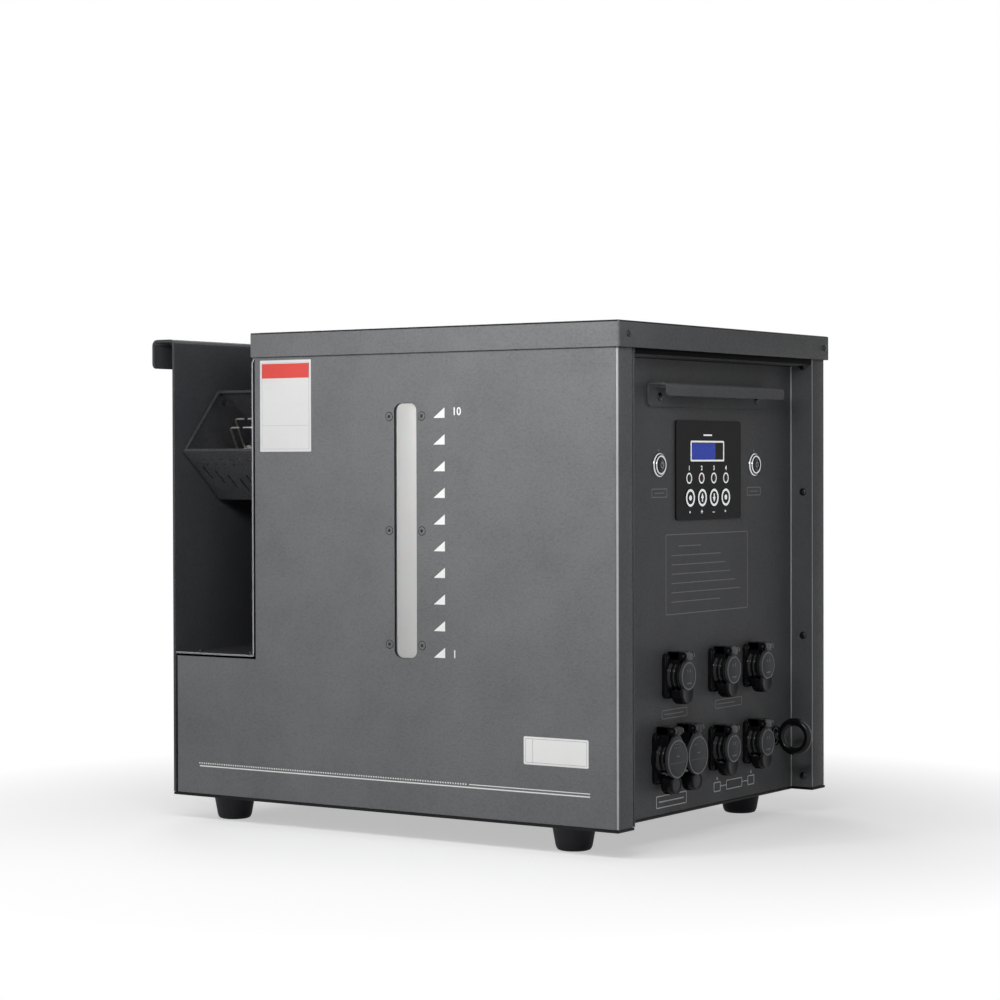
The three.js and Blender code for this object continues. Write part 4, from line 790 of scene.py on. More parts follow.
@dataclass
class Screws:
    """The visible screws of the casing."""

    window: ScrewGroup = ScrewGroup(Facing.FRONT, 4.2, (252.7, 288.1), (0.0,), (349.6, 248.6, 147.7))
    handle: ScrewGroup = ScrewGroup(Facing.RIGHT, 3.6, (470.3,), (MIDDLE - 88.0, MIDDLE + 88.0), (365.6,))
    near_cheek: ScrewGroup = ScrewGroup(Facing.BACK, 3.6, (481.0,), (27.7,), (399.0, 280.0, 144.0, 10.4))
    far_cheek: ScrewGroup = ScrewGroup(Facing.FRONT, 3.6, (481.0,), (350.3,), (399.0, 280.0, 144.0, 10.4))
    back_fold: ScrewGroup = ScrewGroup(Facing.BACK, 3.2, (16.0,), (378.0,), (380.0, 300.0, 200.0, 100.0, 20.0))
    lid_end: ScrewGroup = ScrewGroup(Facing.RIGHT, 3.0, (493.3,), (12.6, 371.0), (416.7,))
    lid_back: ScrewGroup = ScrewGroup(Facing.BACK, 3.0, (120.0, 300.0, 470.0), (378.0,), (398.0,))
    bay_floor: ScrewGroup = ScrewGroup(Facing.TOP, 2.6, (16.0, 78.0), (20.0, 360.0), (131.8,))

    def build(self) -> None:
        """Makes the screws of the window, the casing and the handle as one piece each."""
        casing = (self.near_cheek, self.far_cheek, self.back_fold, self.lid_end, self.lid_back, self.bay_floor)
        for name, groups, head, finishes in (
                ("window_screws", (self.window,), self.socket_head, (BLACK_OXIDE, GREY_COAT)),
                ("casing_screws", casing, self.pan_head, (BLACK_OXIDE,)),
                ("handle_screws", (self.handle,), self.pan_head, (BLACK_OXIDE,))):
            shape = Shape()
            for group in groups:
                for placing in group.placings():
                    shape.at = placing
                    head(shape, group.radius)
            shape.piece(name, finishes)

    @staticmethod
    def socket_head(shape: Shape, radius: float) -> None:
        """Adds a painted countersunk screw with a hexagon socket, in a black washer.

        Args:
            shape: The shape, placed at the screw.
            radius: The washer's radius.
        """
        shape.paint = 0
        shape.turned([(0, -0.1), (radius, -0.1), (radius - 0.2, 0.1), (0, 0.1)], steps=32)
        shape.disc(1.75, 0.1, 0.32, steps=6)
        shape.paint = 1
        shape.turned([(1.5, 0.1), (radius - 0.75, 0.1), (radius - 0.9, 0.3), (radius - 1.3, 0.42), (1.8, 0.42),
                      (1.6, 0.36)], steps=32)

    @staticmethod
    def pan_head(shape: Shape, radius: float) -> None:
        """Adds a low domed screw with a cross on it.

        Args:
            shape: The shape, placed at the screw.
            radius: The head's radius.
        """
        shape.turned([(0, -0.1), (radius, -0.1), (radius, 0.35), (radius * 0.92, 0.9), (radius * 0.7, 1.4),
                      (radius * 0.42, 1.62), (0, 1.66)], steps=28)
        arm, half_slot = radius * 0.55, 0.28
        placing = shape.at
        for degrees in (45, 135):
            shape.at = placing @ Matrix.Rotation(math.radians(degrees), 4, "Z")
            shape.box((-arm, -half_slot, 1.45), (arm, half_slot, 1.78), edge=0.1)


@dataclass
class LevelWindow:
    """The fuel level window with its printed scale."""

    scale_left: float = 300.8
    scale_right: float = 312.8
    mark_height: float = 9.0
    marks: int = 10
    top_mark: float = 347.8
    low_mark: float = 137.7
    figure_height: float = 7.0
    figures: tuple[tuple[str, float, float], ...] = (("10", 325.6, 353.0), ("1", 323.0, 141.1))
    slot: tuple[float, float, float] = (259.95, 135.9, 361.3)
    slot_corner: float = 7.0
    shadow_width: float = 1.7

    def build(self) -> None:
        """Finishes the strip and prints the scale beside it."""
        softened("level_window", POLYETHYLENE)
        scale = Shape(Facing.FRONT.at(*ORIGIN))
        left, right = self.scale_left, self.scale_right
        pitch = (self.top_mark - self.low_mark) / (self.marks - 1)
        for count in range(self.marks):
            foot = self.low_mark + pitch * count
            scale.prism([(left, foot), (right, foot), (right, foot + self.mark_height)], 0, SKIN)
        for text, x, z in self.figures:
            scale.figure(text, self.figure_height, (x, z, 0))
        scale.piece("level_scale_print", [WHITE_INK], slot=FILM_SLOT)
        self.shadow_lip()

    def shadow_lip(self) -> None:
        """Makes a black strip along one side of the window's slot, as painted shadow for the slot's shaded cut wall.
        """
        left, low, high = self.slot
        radius = self.slot_corner
        inner = [*arc(radius, 100, 180, 8, (left + radius, high - radius)),
                 *arc(radius, 180, 260, 8, (left + radius, low + radius))]
        outer = [(u - self.shadow_width * math.sin(math.pi * (step + 1) / (len(inner) + 1)) ** 0.5, v)
                 for step, (u, v) in enumerate(inner)]
        shadow_lip = Shape(Facing.FRONT.at(*ORIGIN))
        shadow_lip.prism(inner + outer[::-1], 0, SKIN)
        shadow_lip.piece("level_window_lip", [SHADOW_BLACK], slot=FILM_SLOT)


@dataclass
class FrontPrints:
    """What is printed on or stuck to the front panel, all of it blank."""

    rule: Area = (32.0, 25.55, 462.0, 26.65)
    short_rule: Area = (338.0, 28.3, 462.0, 29.1)
    dots_height: float = 28.7
    dot_pitch: float = 2.7
    dot_radius: float = 0.75
    sticker: Area = (106.0, 319.0, 165.0, 402.4)
    sticker_margin: float = 2.2
    sticker_corner: float = 0.8
    band_low: float = 16.5
    band_high: float = 3.2
    division: float = 23.6
    plate: Area = (395.0, 50.0, 460.6, 74.0)
    plate_margin: float = 1.6
    plate_corner: float = 1.2
    plate_division: float = 9.0

    def build(self) -> None:
        """Makes the ruled lines, the sticker and the plate."""
        self.rules()
        self.film()
        self.small_plate()

    def rules(self) -> None:
        """Prints the ruled lines and the dotted one between them."""
        rules = Shape(Facing.FRONT.at(*ORIGIN))
        rules.strip(self.rule)
        rules.strip(self.short_rule)
        left, right = self.rule[0], self.short_rule[0]
        for step in range(int((right - left) / self.dot_pitch)):
            rules.disc(self.dot_radius, 0, SKIN, (left + step * self.dot_pitch, self.dots_height, 0), steps=8)
        rules.piece("front_rules_print", [WHITE_INK])

    def film(self) -> None:
        """Makes the blank sticker with its red band, its frame and the line across it."""
        margin = self.sticker_margin
        left, low, right, high = self.sticker
        film = Shape(Facing.FRONT.at(*ORIGIN))
        film.strip(self.sticker, corner=self.sticker_corner)
        film.paint = 1
        film.strip((left + margin, high - self.band_low, right - margin, high - self.band_high), SKIN, SKIN / 2)
        film.paint = 2
        film.outline(inset(self.sticker, margin), 0.35, 0.4, SKIN / 2, SKIN)
        division = low + self.division
        film.strip((left + margin, division, right - margin, division + 0.3), SKIN, SKIN / 2)
        film.piece("front_sticker_blank", [WHITE_VINYL, RED_VINYL, GREY_INK], slot=FILM_SLOT)

    def small_plate(self) -> None:
        """Makes the blank plate with its frame and the line down it."""
        left, low, _, high = self.plate
        plate = Shape(Facing.FRONT.at(*ORIGIN))
        plate.strip(self.plate, corner=self.plate_corner)
        plate.paint = 1
        plate.outline(inset(self.plate, self.plate_margin), 0.4, 0.6, SKIN / 2, SKIN)
        division = left + self.plate_division
        plate.strip((division, low + 1.8, division + 0.4, high - 1.8), SKIN, SKIN / 2)
        plate.piece("front_plate_blank", [WHITE_INK, GREY_INK], slot=FILM_SLOT)


@dataclass(frozen=True)
class Label:
    """A printed frame, with a ruled line where the machine has words."""

    frame: Area
    rule: Area | None = None
    line: float = 0.9
    corner: float = 1.2

    def draw(self, shape: Shape) -> None:
        """Adds the label to a print.

        Args:
            shape: The print.
        """
        shape.outline(self.frame, self.line, self.corner)
        if self.rule:
            shape.strip(self.rule)


@dataclass
class PanelPrints:
    """The blank frames and ruled lines printed on the control panel."""

    notes: Area = (116.0, 174.0, 265.0, 245.0)
    notes_heading: tuple[float, float] = (138.0, 178.0)
    notes_left: float = 126.0
    note_lines: int = 7
    note_pitch: float = 8.2
    note_thick: float = 0.7
    faint_labels: tuple[Label, ...] = (
        Label((92.0, 277.5, 118.5, 285.5), (97.0, 281.1, 113.5, 281.9), 0.8),
        Label((264.0, 277.5, 290.0, 285.5), (269.0, 281.1, 285.0, 281.9), 0.8),
        Label((109.0, 83.0, 153.0, 91.0), (113.0, 86.6, 146.0, 87.4), 0.7),
        Label((204.0, 85.0, 254.0, 93.0), (208.0, 88.6, 241.0, 89.4), 0.7),
    )
    clear_labels: tuple[Label, ...] = (
        Label((99.0, 5.5, 152.0, 16.5), (104.0, 10.4, 147.0, 11.5), corner=1.4),
        Label((201.0, 9.5, 213.5, 18.5)), Label((224.0, 9.5, 254.0, 18.5)), Label((264.5, 9.5, 277.0, 18.5)),
    )
    links: tuple[Area, ...] = ((213.5, 13.6, 224.0, 14.5), (254.0, 13.6, 264.5, 14.5))
    arrows: tuple[float, float] = (207.25, 270.75)
    arrow: Area = (-1.6, 20.5, 1.6, 23.5)

    def build(self) -> None:
        """Makes the frames of the notes and of the sockets' names, with nothing written in them."""
        faint = Shape(Facing.RIGHT.at(PANEL_FACE, 0, 0))
        self.note_panel(faint)
        for label in self.faint_labels:
            label.draw(faint)
        faint.piece("panel_prints_faint", [FAINT_INK])
        clear = Shape(Facing.RIGHT.at(PANEL_FACE, 0, 0))
        for label in self.clear_labels:
            label.draw(clear)
        for link in self.links:
            clear.strip(link)
        left, low, right, high = self.arrow
        for middle in self.arrows:
            clear.prism([(middle + left, low), (middle + right, low), (middle, high)], 0, SKIN)
        clear.piece("panel_prints_clear", [WHITE_INK])

    def note_panel(self, shape: Shape) -> None:
        """Adds the frame of the notes, with a short heading line over six lines of uneven length.

        Args:
            shape: The print.
        """
        _, _, right, high = self.notes
        Label(self.notes, line=0.7, corner=2.0).draw(shape)
        for count in range(self.note_lines):
            level = high - 11.0 - count * self.note_pitch
            start, end = self.notes_left, right - 14.0 - (count * 37) % 46
            if count == 0:
                start, end = self.notes_heading
            shape.strip((start, level, end, level + self.note_thick))


@dataclass
class Display:
    """The display with its lamps and keys."""

    middle: float = 301.4
    shift: float = -2.8
    front: float = 1.5
    screen: Area = (-30.25, -9.25, 30.25, 9.25)
    screen_rise: float = 17.0
    screen_back: float = 0.1
    screen_sunk: float = 0.25
    blue_margin: tuple[float, float] = (2.4, 2.0)
    blue_share: float = 0.76
    name_bar: Area = (-7.5, 30.6, 7.5, 32.0)
    places: int = 4
    key_pitch: float = 21.4
    key_drop: float = 24.7
    key_radius: float = 8.0
    key_rise: float = 0.6
    key_print: float = 0.06
    key_signs: tuple[str, ...] = ("•", "+", "–", "•")
    sign_height: float = 5.0
    sign_drop: float = 37.6
    lamp_pitch: float = 22.2
    lamp_drop: float = 7.2
    lens: tuple[Point, ...] = ((0, -0.05), (3.5, -0.05), (3.3, 0.3), (2.4, 0.7), (1.2, 0.92), (0, 0.98))
    lamp_ring: tuple[float, float] = (3.7, 4.9)
    red_lamp: int = 1
    figure_height: float = 4.2
    figure_rise: float = 1.7

    def build(self) -> None:
        """Makes the membrane, the screen, the lamps, the keys and their signs."""
        softened("display_bezel", MEMBRANE, 0.35)
        softened("display_board", BOARD, 0.15)
        self.pane()
        self.prints()
        for count in range(self.places):
            self.key(count)

    def pane(self) -> None:
        """Makes the screen: a blue pane with a dark end, in a white printed border."""
        pane = Shape(Facing.RIGHT.at(PANEL, MIDDLE + self.shift, self.middle + self.screen_rise))
        left, low, right, high = self.screen
        face = self.front - self.screen_sunk
        pane.strip(self.screen, self.screen_back, face - self.screen_back, 1.2)
        beside, above = self.blue_margin
        split = left + beside + (right - left - 2 * beside) * self.blue_share
        pane.paint = 1
        pane.strip((left + beside, low + above, split, high - above), face, 0.05)
        pane.paint = 2
        pane.outline(self.screen, 1.5, 1.4, 0.2, face)
        pane.piece("display_screen", [DARK_SCREEN, BLUE_SCREEN, GLOWING_PRINT], slot="circuit_board")

    def prints(self) -> None:
        """Prints figures and signs for the lamps and keys, and makes the lamps' lenses."""
        prints = Shape(Facing.RIGHT.at(PANEL + self.front, MIDDLE + self.shift, self.middle))
        lenses = Shape(prints.at)
        prints.strip(self.name_bar)
        middle = (self.places - 1) / 2
        for count, sign in enumerate(self.key_signs):
            lamp = (count - middle) * self.lamp_pitch
            prints.ring(*self.lamp_ring, 0, SKIN, (lamp, -self.lamp_drop, 0))
            prints.figure(str(count + 1), self.figure_height, (lamp, self.figure_rise, 0))
            prints.figure(sign, self.sign_height, ((count - middle) * self.key_pitch, -self.sign_drop, 0))
            lenses.paint = 1 if count == self.red_lamp else 0
            lenses.turned(self.lens, (lamp, -self.lamp_drop, 0), steps=32)
        prints.piece("display_prints", [GLOWING_PRINT], slot="black_plastic")
        lenses.piece("display_lamps", [LENS, LENS_RED], slot="black_plastic")

    def key(self, count: int) -> None:
        """Makes a round key with its printed ring and sign.

        Args:
            count: Its place in the row, from 0.
        """
        place = (count - (self.places - 1) / 2) * self.key_pitch
        radius, face = self.key_radius, self.front + self.key_rise
        high = face + self.key_print
        key = Shape(Facing.RIGHT.at(PANEL, MIDDLE + self.shift + place, self.middle - self.key_drop))
        key.turned([(0, -1.7), (radius + 0.9, -1.7), (radius + 0.9, -0.3), (radius, -0.3), (radius, face - 0.45),
                    (radius - 0.15, face - 0.13), (radius - 0.45, face), (0, face)], steps=56)
        key.paint = 1
        key.ring(radius - 2.2, radius - 0.2, face, high, steps=56)
        if count in (0, self.places - 1):
            key.disc(2.3, face, high)
        else:
            up = 1 if count == 1 else -1
            neck, tail = -0.4 * up, -3.6 * up
            key.prism([(-2.5, neck), (2.5, neck), (0, 4.2 * up)], face, high)
            key.box((-0.9, min(neck, tail), face), (0.9, max(neck, tail), high))
        key.piece(f"key_{count + 1}_cap", [MEMBRANE, GLOWING_PRINT], body=f"panel_key_{count + 1}",
                  nodes=[f"key_{count + 1}"])


@dataclass
class PushButtons:
    """The two chrome push buttons, with the profiles of their turned parts."""

    shift: float = 86.5
    height: float = 306.1
    face: float = 3.5
    bezel: tuple[Point, ...] = ((6.7, -19), (7.7, -19), (7.7, 0), (10.8, 0), (10.8, 0.8), (10.5, 1.3), (9.9, 1.6),
                                (9.0, 1.6), (8.8, 1.75), (8.7, 2.4), (8.4, 2.85), (8.0, 3.0), (7.4, 2.9), (6.9, 2.6),
                                (6.7, 2.2))
    # The bezel's side wall between its flange and its top ring, black as painted shade for its shadow
    shadow_groove: tuple[Point, ...] = ((8.6, 1.5), (9.7, 1.5), (9.6, 1.72), (8.82, 1.9), (8.75, 2.3), (8.6, 2.3))
    plunger: tuple[Point, ...] = ((0, -12), (6.4, -12), (6.4, -0.5), (6.2, -0.15), (5.8, 0), (5.3, 0), (5.1, -0.25),
                                  (4.5, -0.25), (4.3, -0.05), (0, -0.35))
    sign_depth: tuple[float, float] = (-0.4, -0.05)
    dot_rise: float = 13.0

    def build(self) -> None:
        """Makes each button's bezel, its plunger and the printed dot over it."""
        for name, across in (("left_button", MIDDLE - self.shift), ("right_button", MIDDLE + self.shift)):
            bezel = Shape(Facing.RIGHT.at(PANEL, across, self.height))
            bezel.turned(self.bezel, steps=64)
            # The black side wall is painted shade
            bezel.paint = 1
            bezel.turned(self.shadow_groove, steps=64)
            bezel.piece(f"{name}_bezel_turned", [CHROME, GLOSS_PLASTIC], nodes=[f"{name}_bezel"], sharp=50)
            plunger = Shape(Facing.RIGHT.at(PANEL + self.face, across, self.height))
            plunger.turned(self.plunger, steps=56)
            plunger.paint = 1
            low, high = self.sign_depth
            plunger.ring(2.0, 2.6, low, high)
            plunger.box((-0.3, 0.6, low), (0.3, 3.4, high))
            plunger.piece(f"{name}_plunger_turned", [GLOSS_PLASTIC, STEEL], body=name, nodes=[f"{name}_plunger"],
                          sharp=50)
            spot = Shape(Facing.RIGHT.at(PANEL_FACE, across, self.height + self.dot_rise))
            spot.disc(0.8, 0, SKIN, steps=16)
            spot.piece(f"{name}_dot_print", [GREY_INK])


@dataclass
class Socket:
    """A sealed socket, or one half of the double one, with its hinged lid. Sizes run from the socket's centre."""

    name: str
    across: float
    height: float
    lid_radius: float = 12.5
    rise: float = 17.8
    tab_radius: float = 9.5
    tab_drop: float = 24.5
    double: bool = False
    flange: float = 4.6
    reach: float = 15.2
    sunk: float = 18.0
    depth: float = 20.0
    bore: float = 10.4
    shank: float = 11.8
    waist: float = 12.5
    rib: float = 13.4
    collar: float = 14.2
    contact: float = 1.2
    contacts: tuple[Point, ...] = ((-5.2, 3.0, 0.0), (5.2, 3.0, 0.0), (0.0, -6.0, 0.0))
    knuckle: float = 3.5
    half_neck: float = 4.0
    ear: float = 3.2
    play: float = 0.4
    gap: float = 0.6
    pin: float = 1.2
    pin_out: float = 17.1
    lid_back: float = 15.5
    lid_thick: float = 3.2
    mark_rise: float = 0.3
    marks: tuple[Area, ...] = ((-2.5, 3.2, -1.5, 5.8), (1.5, 3.2, 2.5, 5.8), (-4.0, -6.8, 4.0, -5.8))
    tick_pitch: float = 2.6
    ticks: int = 10
    dot_pitch: tuple[float, float] = (3.0, 2.7)
    grip_back: float = 6.2
    room: float = 15.2

    @property
    def at(self) -> Matrix:
        """The socket's placing."""
        return Facing.RIGHT.at(PANEL, self.across, self.height)

    @property
    def hinge(self) -> Point:
        """The middle of the hinge pin."""
        return 0.0, self.rise, self.pin_out

    def body(self, shape: Shape) -> None:
        """Adds the socket's barrel, its contacts and the hinge ears to a piece.

        Args:
            shape: The piece.
        """
        shape.at = self.at
        shape.paint = 0
        waist, rib, step, front = self.waist, self.rib, self.flange, self.reach
        middle = (step + front) / 2
        bottom = front - self.depth
        shape.turned([
            (0, -self.sunk), (self.shank, -self.sunk), (self.shank, 0), (self.collar, 0), (self.collar, step + 0.3),
            (self.collar - 0.3, step + 0.7), (waist + 0.2, step + 2.0), (waist, step + 2.4), (waist, middle - 1.1),
            (rib - 0.5, middle - 0.5), (rib - 0.1, middle - 0.2), (rib, middle), (rib - 0.1, middle + 0.2),
            (rib - 0.5, middle + 0.5), (waist, middle + 1.1), (waist, front - 2.0), (rib - 0.5, front - 1.5),
            (rib, front - 1.1), (rib, front - 0.3), (rib - 0.3, front), (self.bore + 0.4, front),
            (self.bore, front - 0.4), (self.bore, bottom), (0, bottom),
        ], steps=56)
        shape.turned([(0, bottom - 0.5), (2.6, bottom - 0.5), (2.6, bottom + 8.4), (2.0, bottom + 9.0),
                      (0, bottom + 9.0)], steps=24)
        shape.paint = 1
        for place in self.contacts:
            shape.disc(self.contact, bottom - 0.2, bottom + 7.5, place, steps=16, edge=0.4)
        self.ears(shape)

    def ears(self, shape: Shape) -> None:
        """Adds the arm over the barrel, with the two ears that hold the lid's pin.

        Args:
            shape: The piece.
        """
        shape.paint = 0
        half_arm = self.half_neck + self.ear
        low, high, root = self.rise - self.knuckle, self.rise + self.knuckle, 2.0
        shape.box((-half_arm, 10.0, 1.0), (half_arm, high, self.pin_out - self.knuckle - self.gap), edge=0.5)
        outline = [(low, root), *arc(self.knuckle, 180, 0, 14, (self.rise, self.pin_out)), (high, root)]
        inside = self.half_neck + self.play
        for start, end in ((-half_arm, -inside), (inside, half_arm)):
            shape.prism(outline, start, end, Along.RIGHT, 0.25)
        shape.paint = 1
        for end in (-half_arm, half_arm):
            shape.disc(self.pin, end - 0.12, end + 0.12, self.hinge, Along.RIGHT, 16)

    def lid(self) -> None:
        """Makes the hinged lid with its knuckle, raised marks and thumb grip."""
        lid = Shape(self.at)
        back, front = self.lid_back, self.lid_back + self.lid_thick
        neck, foot, head = self.half_neck, self.rise - self.knuckle - self.gap, self.rise - 1.5
        start = math.degrees(math.atan2(foot, -neck) + math.acos(self.lid_radius / math.hypot(neck, foot)))
        lid.prism([(neck, foot), (neck, head), (-neck, head), (-neck, foot),
                   *arc(self.lid_radius, start, 540 - start, 56)], back, front, edge=0.45)
        rim = self.lid_radius - 0.2
        # The raised rim takes the paler finish as a painted highlight of its edge
        lid.paint = 4
        lid.turned([(rim - 1.3, front - 0.2), (rim, front - 0.2), (rim, front + 0.05), (rim - 0.35, front + 0.4),
                    (rim - 0.95, front + 0.4), (rim - 1.3, front + 0.05)], steps=72)
        self.knuckles(lid)
        self.raised_marks(lid, front)
        tab, radius = self.tab_radius - self.tab_drop, self.tab_radius
        lid.paint = 5
        lid.turned([(0, back - 0.2), (radius, back - 0.2), (radius, back + 1.8), (radius - 0.5, back + 2.5),
                    (radius - 1.2, back + 2.6), (radius - 2.6, back + 1.9), (0, back + 1.6)], (0, tab, 0), steps=56)
        lid.paint = 1
        self.grip(lid, tab)
        if self.double:
            lid.paint = 0
            lid.disc(radius - 2.8, back + 1.2, back + 1.95, (0, tab, 0), edge=0.2)
        finishes = [MATT_PLASTIC, GLOSS_PLASTIC, STEEL, PALE_PLASTIC, MARKS_AND_RIM_HIGHLIGHT, DARK_PLASTIC]
        lid.piece(f"socket_lid_{self.name}_moulded", finishes, body=f"{self.name}_lid",
                  nodes=[f"socket_lid_{self.name}"])

    def knuckles(self, lid: Shape) -> None:
        """Adds the hinge knuckle with its flat front, and the pin.

        Args:
            lid: The lid.
        """
        neck, end = self.half_neck, self.half_neck + self.ear
        lid.paint = 0 if self.double else 3
        lid.disc(self.knuckle, -neck, neck, self.hinge, Along.RIGHT, 32, 0.25)
        lid.box((-neck, self.rise - 3.4, self.pin_out), (neck, self.rise + 2.0, self.pin_out + 3.2), edge=0.4)
        lid.paint = 2
        lid.disc(self.pin, -end, end, self.hinge, Along.RIGHT, 20)

    def raised_marks(self, lid: Shape, front: float) -> None:
        """Adds small raised marks, and the grip dots of the double socket's lids.

        Args:
            lid: The lid.
            front: The height of its face.
        """
        marks = self.marks
        if self.double:
            places = [(count - (self.ticks - 1) / 2) * self.tick_pitch for count in range(self.ticks)]
            marks = [(-2.4, 2.0, 2.4, 2.9), *((place - 0.6, -3.6, place + 0.6, -2.8) for place in places)]
        lid.paint = 4
        for mark in marks:
            lid.strip(mark, front, self.mark_rise, edge=0.1)
        if not self.double:
            return
        lid.paint = 3
        across, up = self.dot_pitch
        dot = [(0, front - 0.1), (0.8, front - 0.1), (0.65, front + 0.35), (0, front + 0.55)]
        for row in range(4):
            for count in range(5 - row):
                place = ((count - (4 - row) / 2) * across, self.lid_radius - 7.0 + row * up, 0)
                lid.turned(dot, place, steps=8)

    def grip(self, lid: Shape, tab: float) -> None:
        """Adds the thumb grip that reaches back under the socket, with its ridges.

        Args:
            lid: The lid.
            tab: The height of the thumb tab's centre.
        """
        start, end, radius, across = self.grip_back, self.lid_back, self.tab_radius, abs(tab)
        foot = (across ** 2 + self.room ** 2 - radius ** 2) / (2 * across)
        reach = math.degrees(math.acos(min(1.0, foot / self.room)))
        half = math.sqrt(max(0.0, self.room ** 2 - foot ** 2))
        wide = math.degrees(math.atan2(across - foot, half))
        outline = arc(radius, 180 - wide, 360 + wide, 40, (0, tab))
        outline += arc(self.room, 270 + reach, 270 - reach, 16)[1:-1]
        lid.prism(outline, start, end, edge=0.35)
        for u, v in arc(radius, 200, 340, 10, (0, tab)):
            if math.hypot(u, v) > self.room + 1.0:
                lid.disc(0.45, start + 1.0, end - 0.8, (u, v, 0), Along.OUT, 10, 0.15)


@dataclass
class Sockets:
    """The five single sockets, the double one and the safety eyebolt."""

    half_panel: float = 162.8
    column_shares: tuple[float, float, float] = (-0.4116, 0.0891, 0.4834)
    double_share: float = -0.4195
    double_pitch: float = 36.0
    rows: tuple[float, float] = (121.0, 50.0)
    plate_size: tuple[float, float] = (30.0, 40.0)
    double_size: tuple[float, float] = (62.0, 45.4)
    screw_inset: float = 3.6
    screw: tuple[Point, ...] = ((0, 4.4), (1.7, 4.4), (1.6, 4.9), (1.0, 5.2), (0.5, 5.2), (0.4, 4.9), (0, 4.9))
    eyebolt_share: float = 0.7801
    eyebolt_height: float = 51.0
    ring_out: float = 21.0
    ring_radius: float = 13.9
    ring_thick: float = 3.6
    collar: tuple[Point, ...] = ((0, -16), (3.6, -16), (4.0, -15.4), (4.0, 0), (9.0, 0), (9.0, 1.6), (8.6, 2.4),
                                 (7.0, 3.0), (5.0, 3.8), (4.2, 5.0), (3.9, 6.4), (4.2, 7.6), (0, 7.8))

    def build(self) -> None:
        """Makes every socket and the eyebolt."""
        left, centre, right = (MIDDLE + share * self.half_panel for share in self.column_shares)
        upper, lower = self.rows
        finishes = [GLOSS_PLASTIC, STEEL, BLACK_OXIDE]
        for socket in (Socket("upper_left", left, upper), Socket("upper_middle", centre, upper),
                       Socket("upper_right", right, upper), Socket("lower_middle", centre, lower),
                       Socket("lower_right", right, lower)):
            piece = Shape(socket.at)
            self.plate(piece, self.plate_size, (-1, 1))
            socket.body(piece)
            piece.piece(f"socket_{socket.name}_moulded", finishes, nodes=[f"socket_{socket.name}"])
            socket.lid()
        middle = MIDDLE + self.double_share * self.half_panel
        piece = Shape(Facing.RIGHT.at(PANEL, middle, lower))
        self.plate(piece, self.double_size, (-1, 0, 1))
        for name, side in (("double_left", -1), ("double_right", 1)):
            socket = Socket(name, middle + side * self.double_pitch / 2, lower, lid_radius=17.0, rise=24.4,
                            tab_radius=8.4, tab_drop=31.0, double=True)
            socket.body(piece)
            socket.lid()
        piece.piece("socket_double_moulded", finishes, nodes=["socket_double"])
        self.eyebolt()

    def plate(self, piece: Shape, size: tuple[float, float], columns: Sequence[int]) -> None:
        """Adds a flange with a raised field and small screws along its edges.

        Args:
            piece: The piece, placed at the flange's middle.
            size: Its width and height.
            columns: Where its screws are, from -1 at the left to 1 at the right.
        """
        u, v = size[0] / 2, size[1] / 2
        area = (-u, -v, u, v)
        piece.strip(area, 0, 3.8, 5.0, 0.7)
        piece.strip(inset(area, 1.4), 1, 3.6, 4.0, 0.4)
        piece.paint = 2
        for row, column in product((-1, 1), columns):
            piece.turned(self.screw, (column * (u - self.screw_inset), row * (v - self.screw_inset), 0), steps=20)

    def eyebolt(self) -> None:
        """Makes the safety eyebolt: a ring on a collar."""
        across = MIDDLE + self.eyebolt_share * self.half_panel
        bolt = Shape(Facing.RIGHT.at(PANEL, across, self.eyebolt_height))
        ring = arc(self.ring_thick, 0, 345, 23, (self.ring_radius, 0))
        bolt.turned(ring, (0, 0, self.ring_out), Along.RIGHT, 72)
        bolt.turned(self.collar)
        bolt.piece("safety_eyebolt_forged", [GLOSS_PLASTIC], nodes=["safety_eyebolt"], sharp=60)


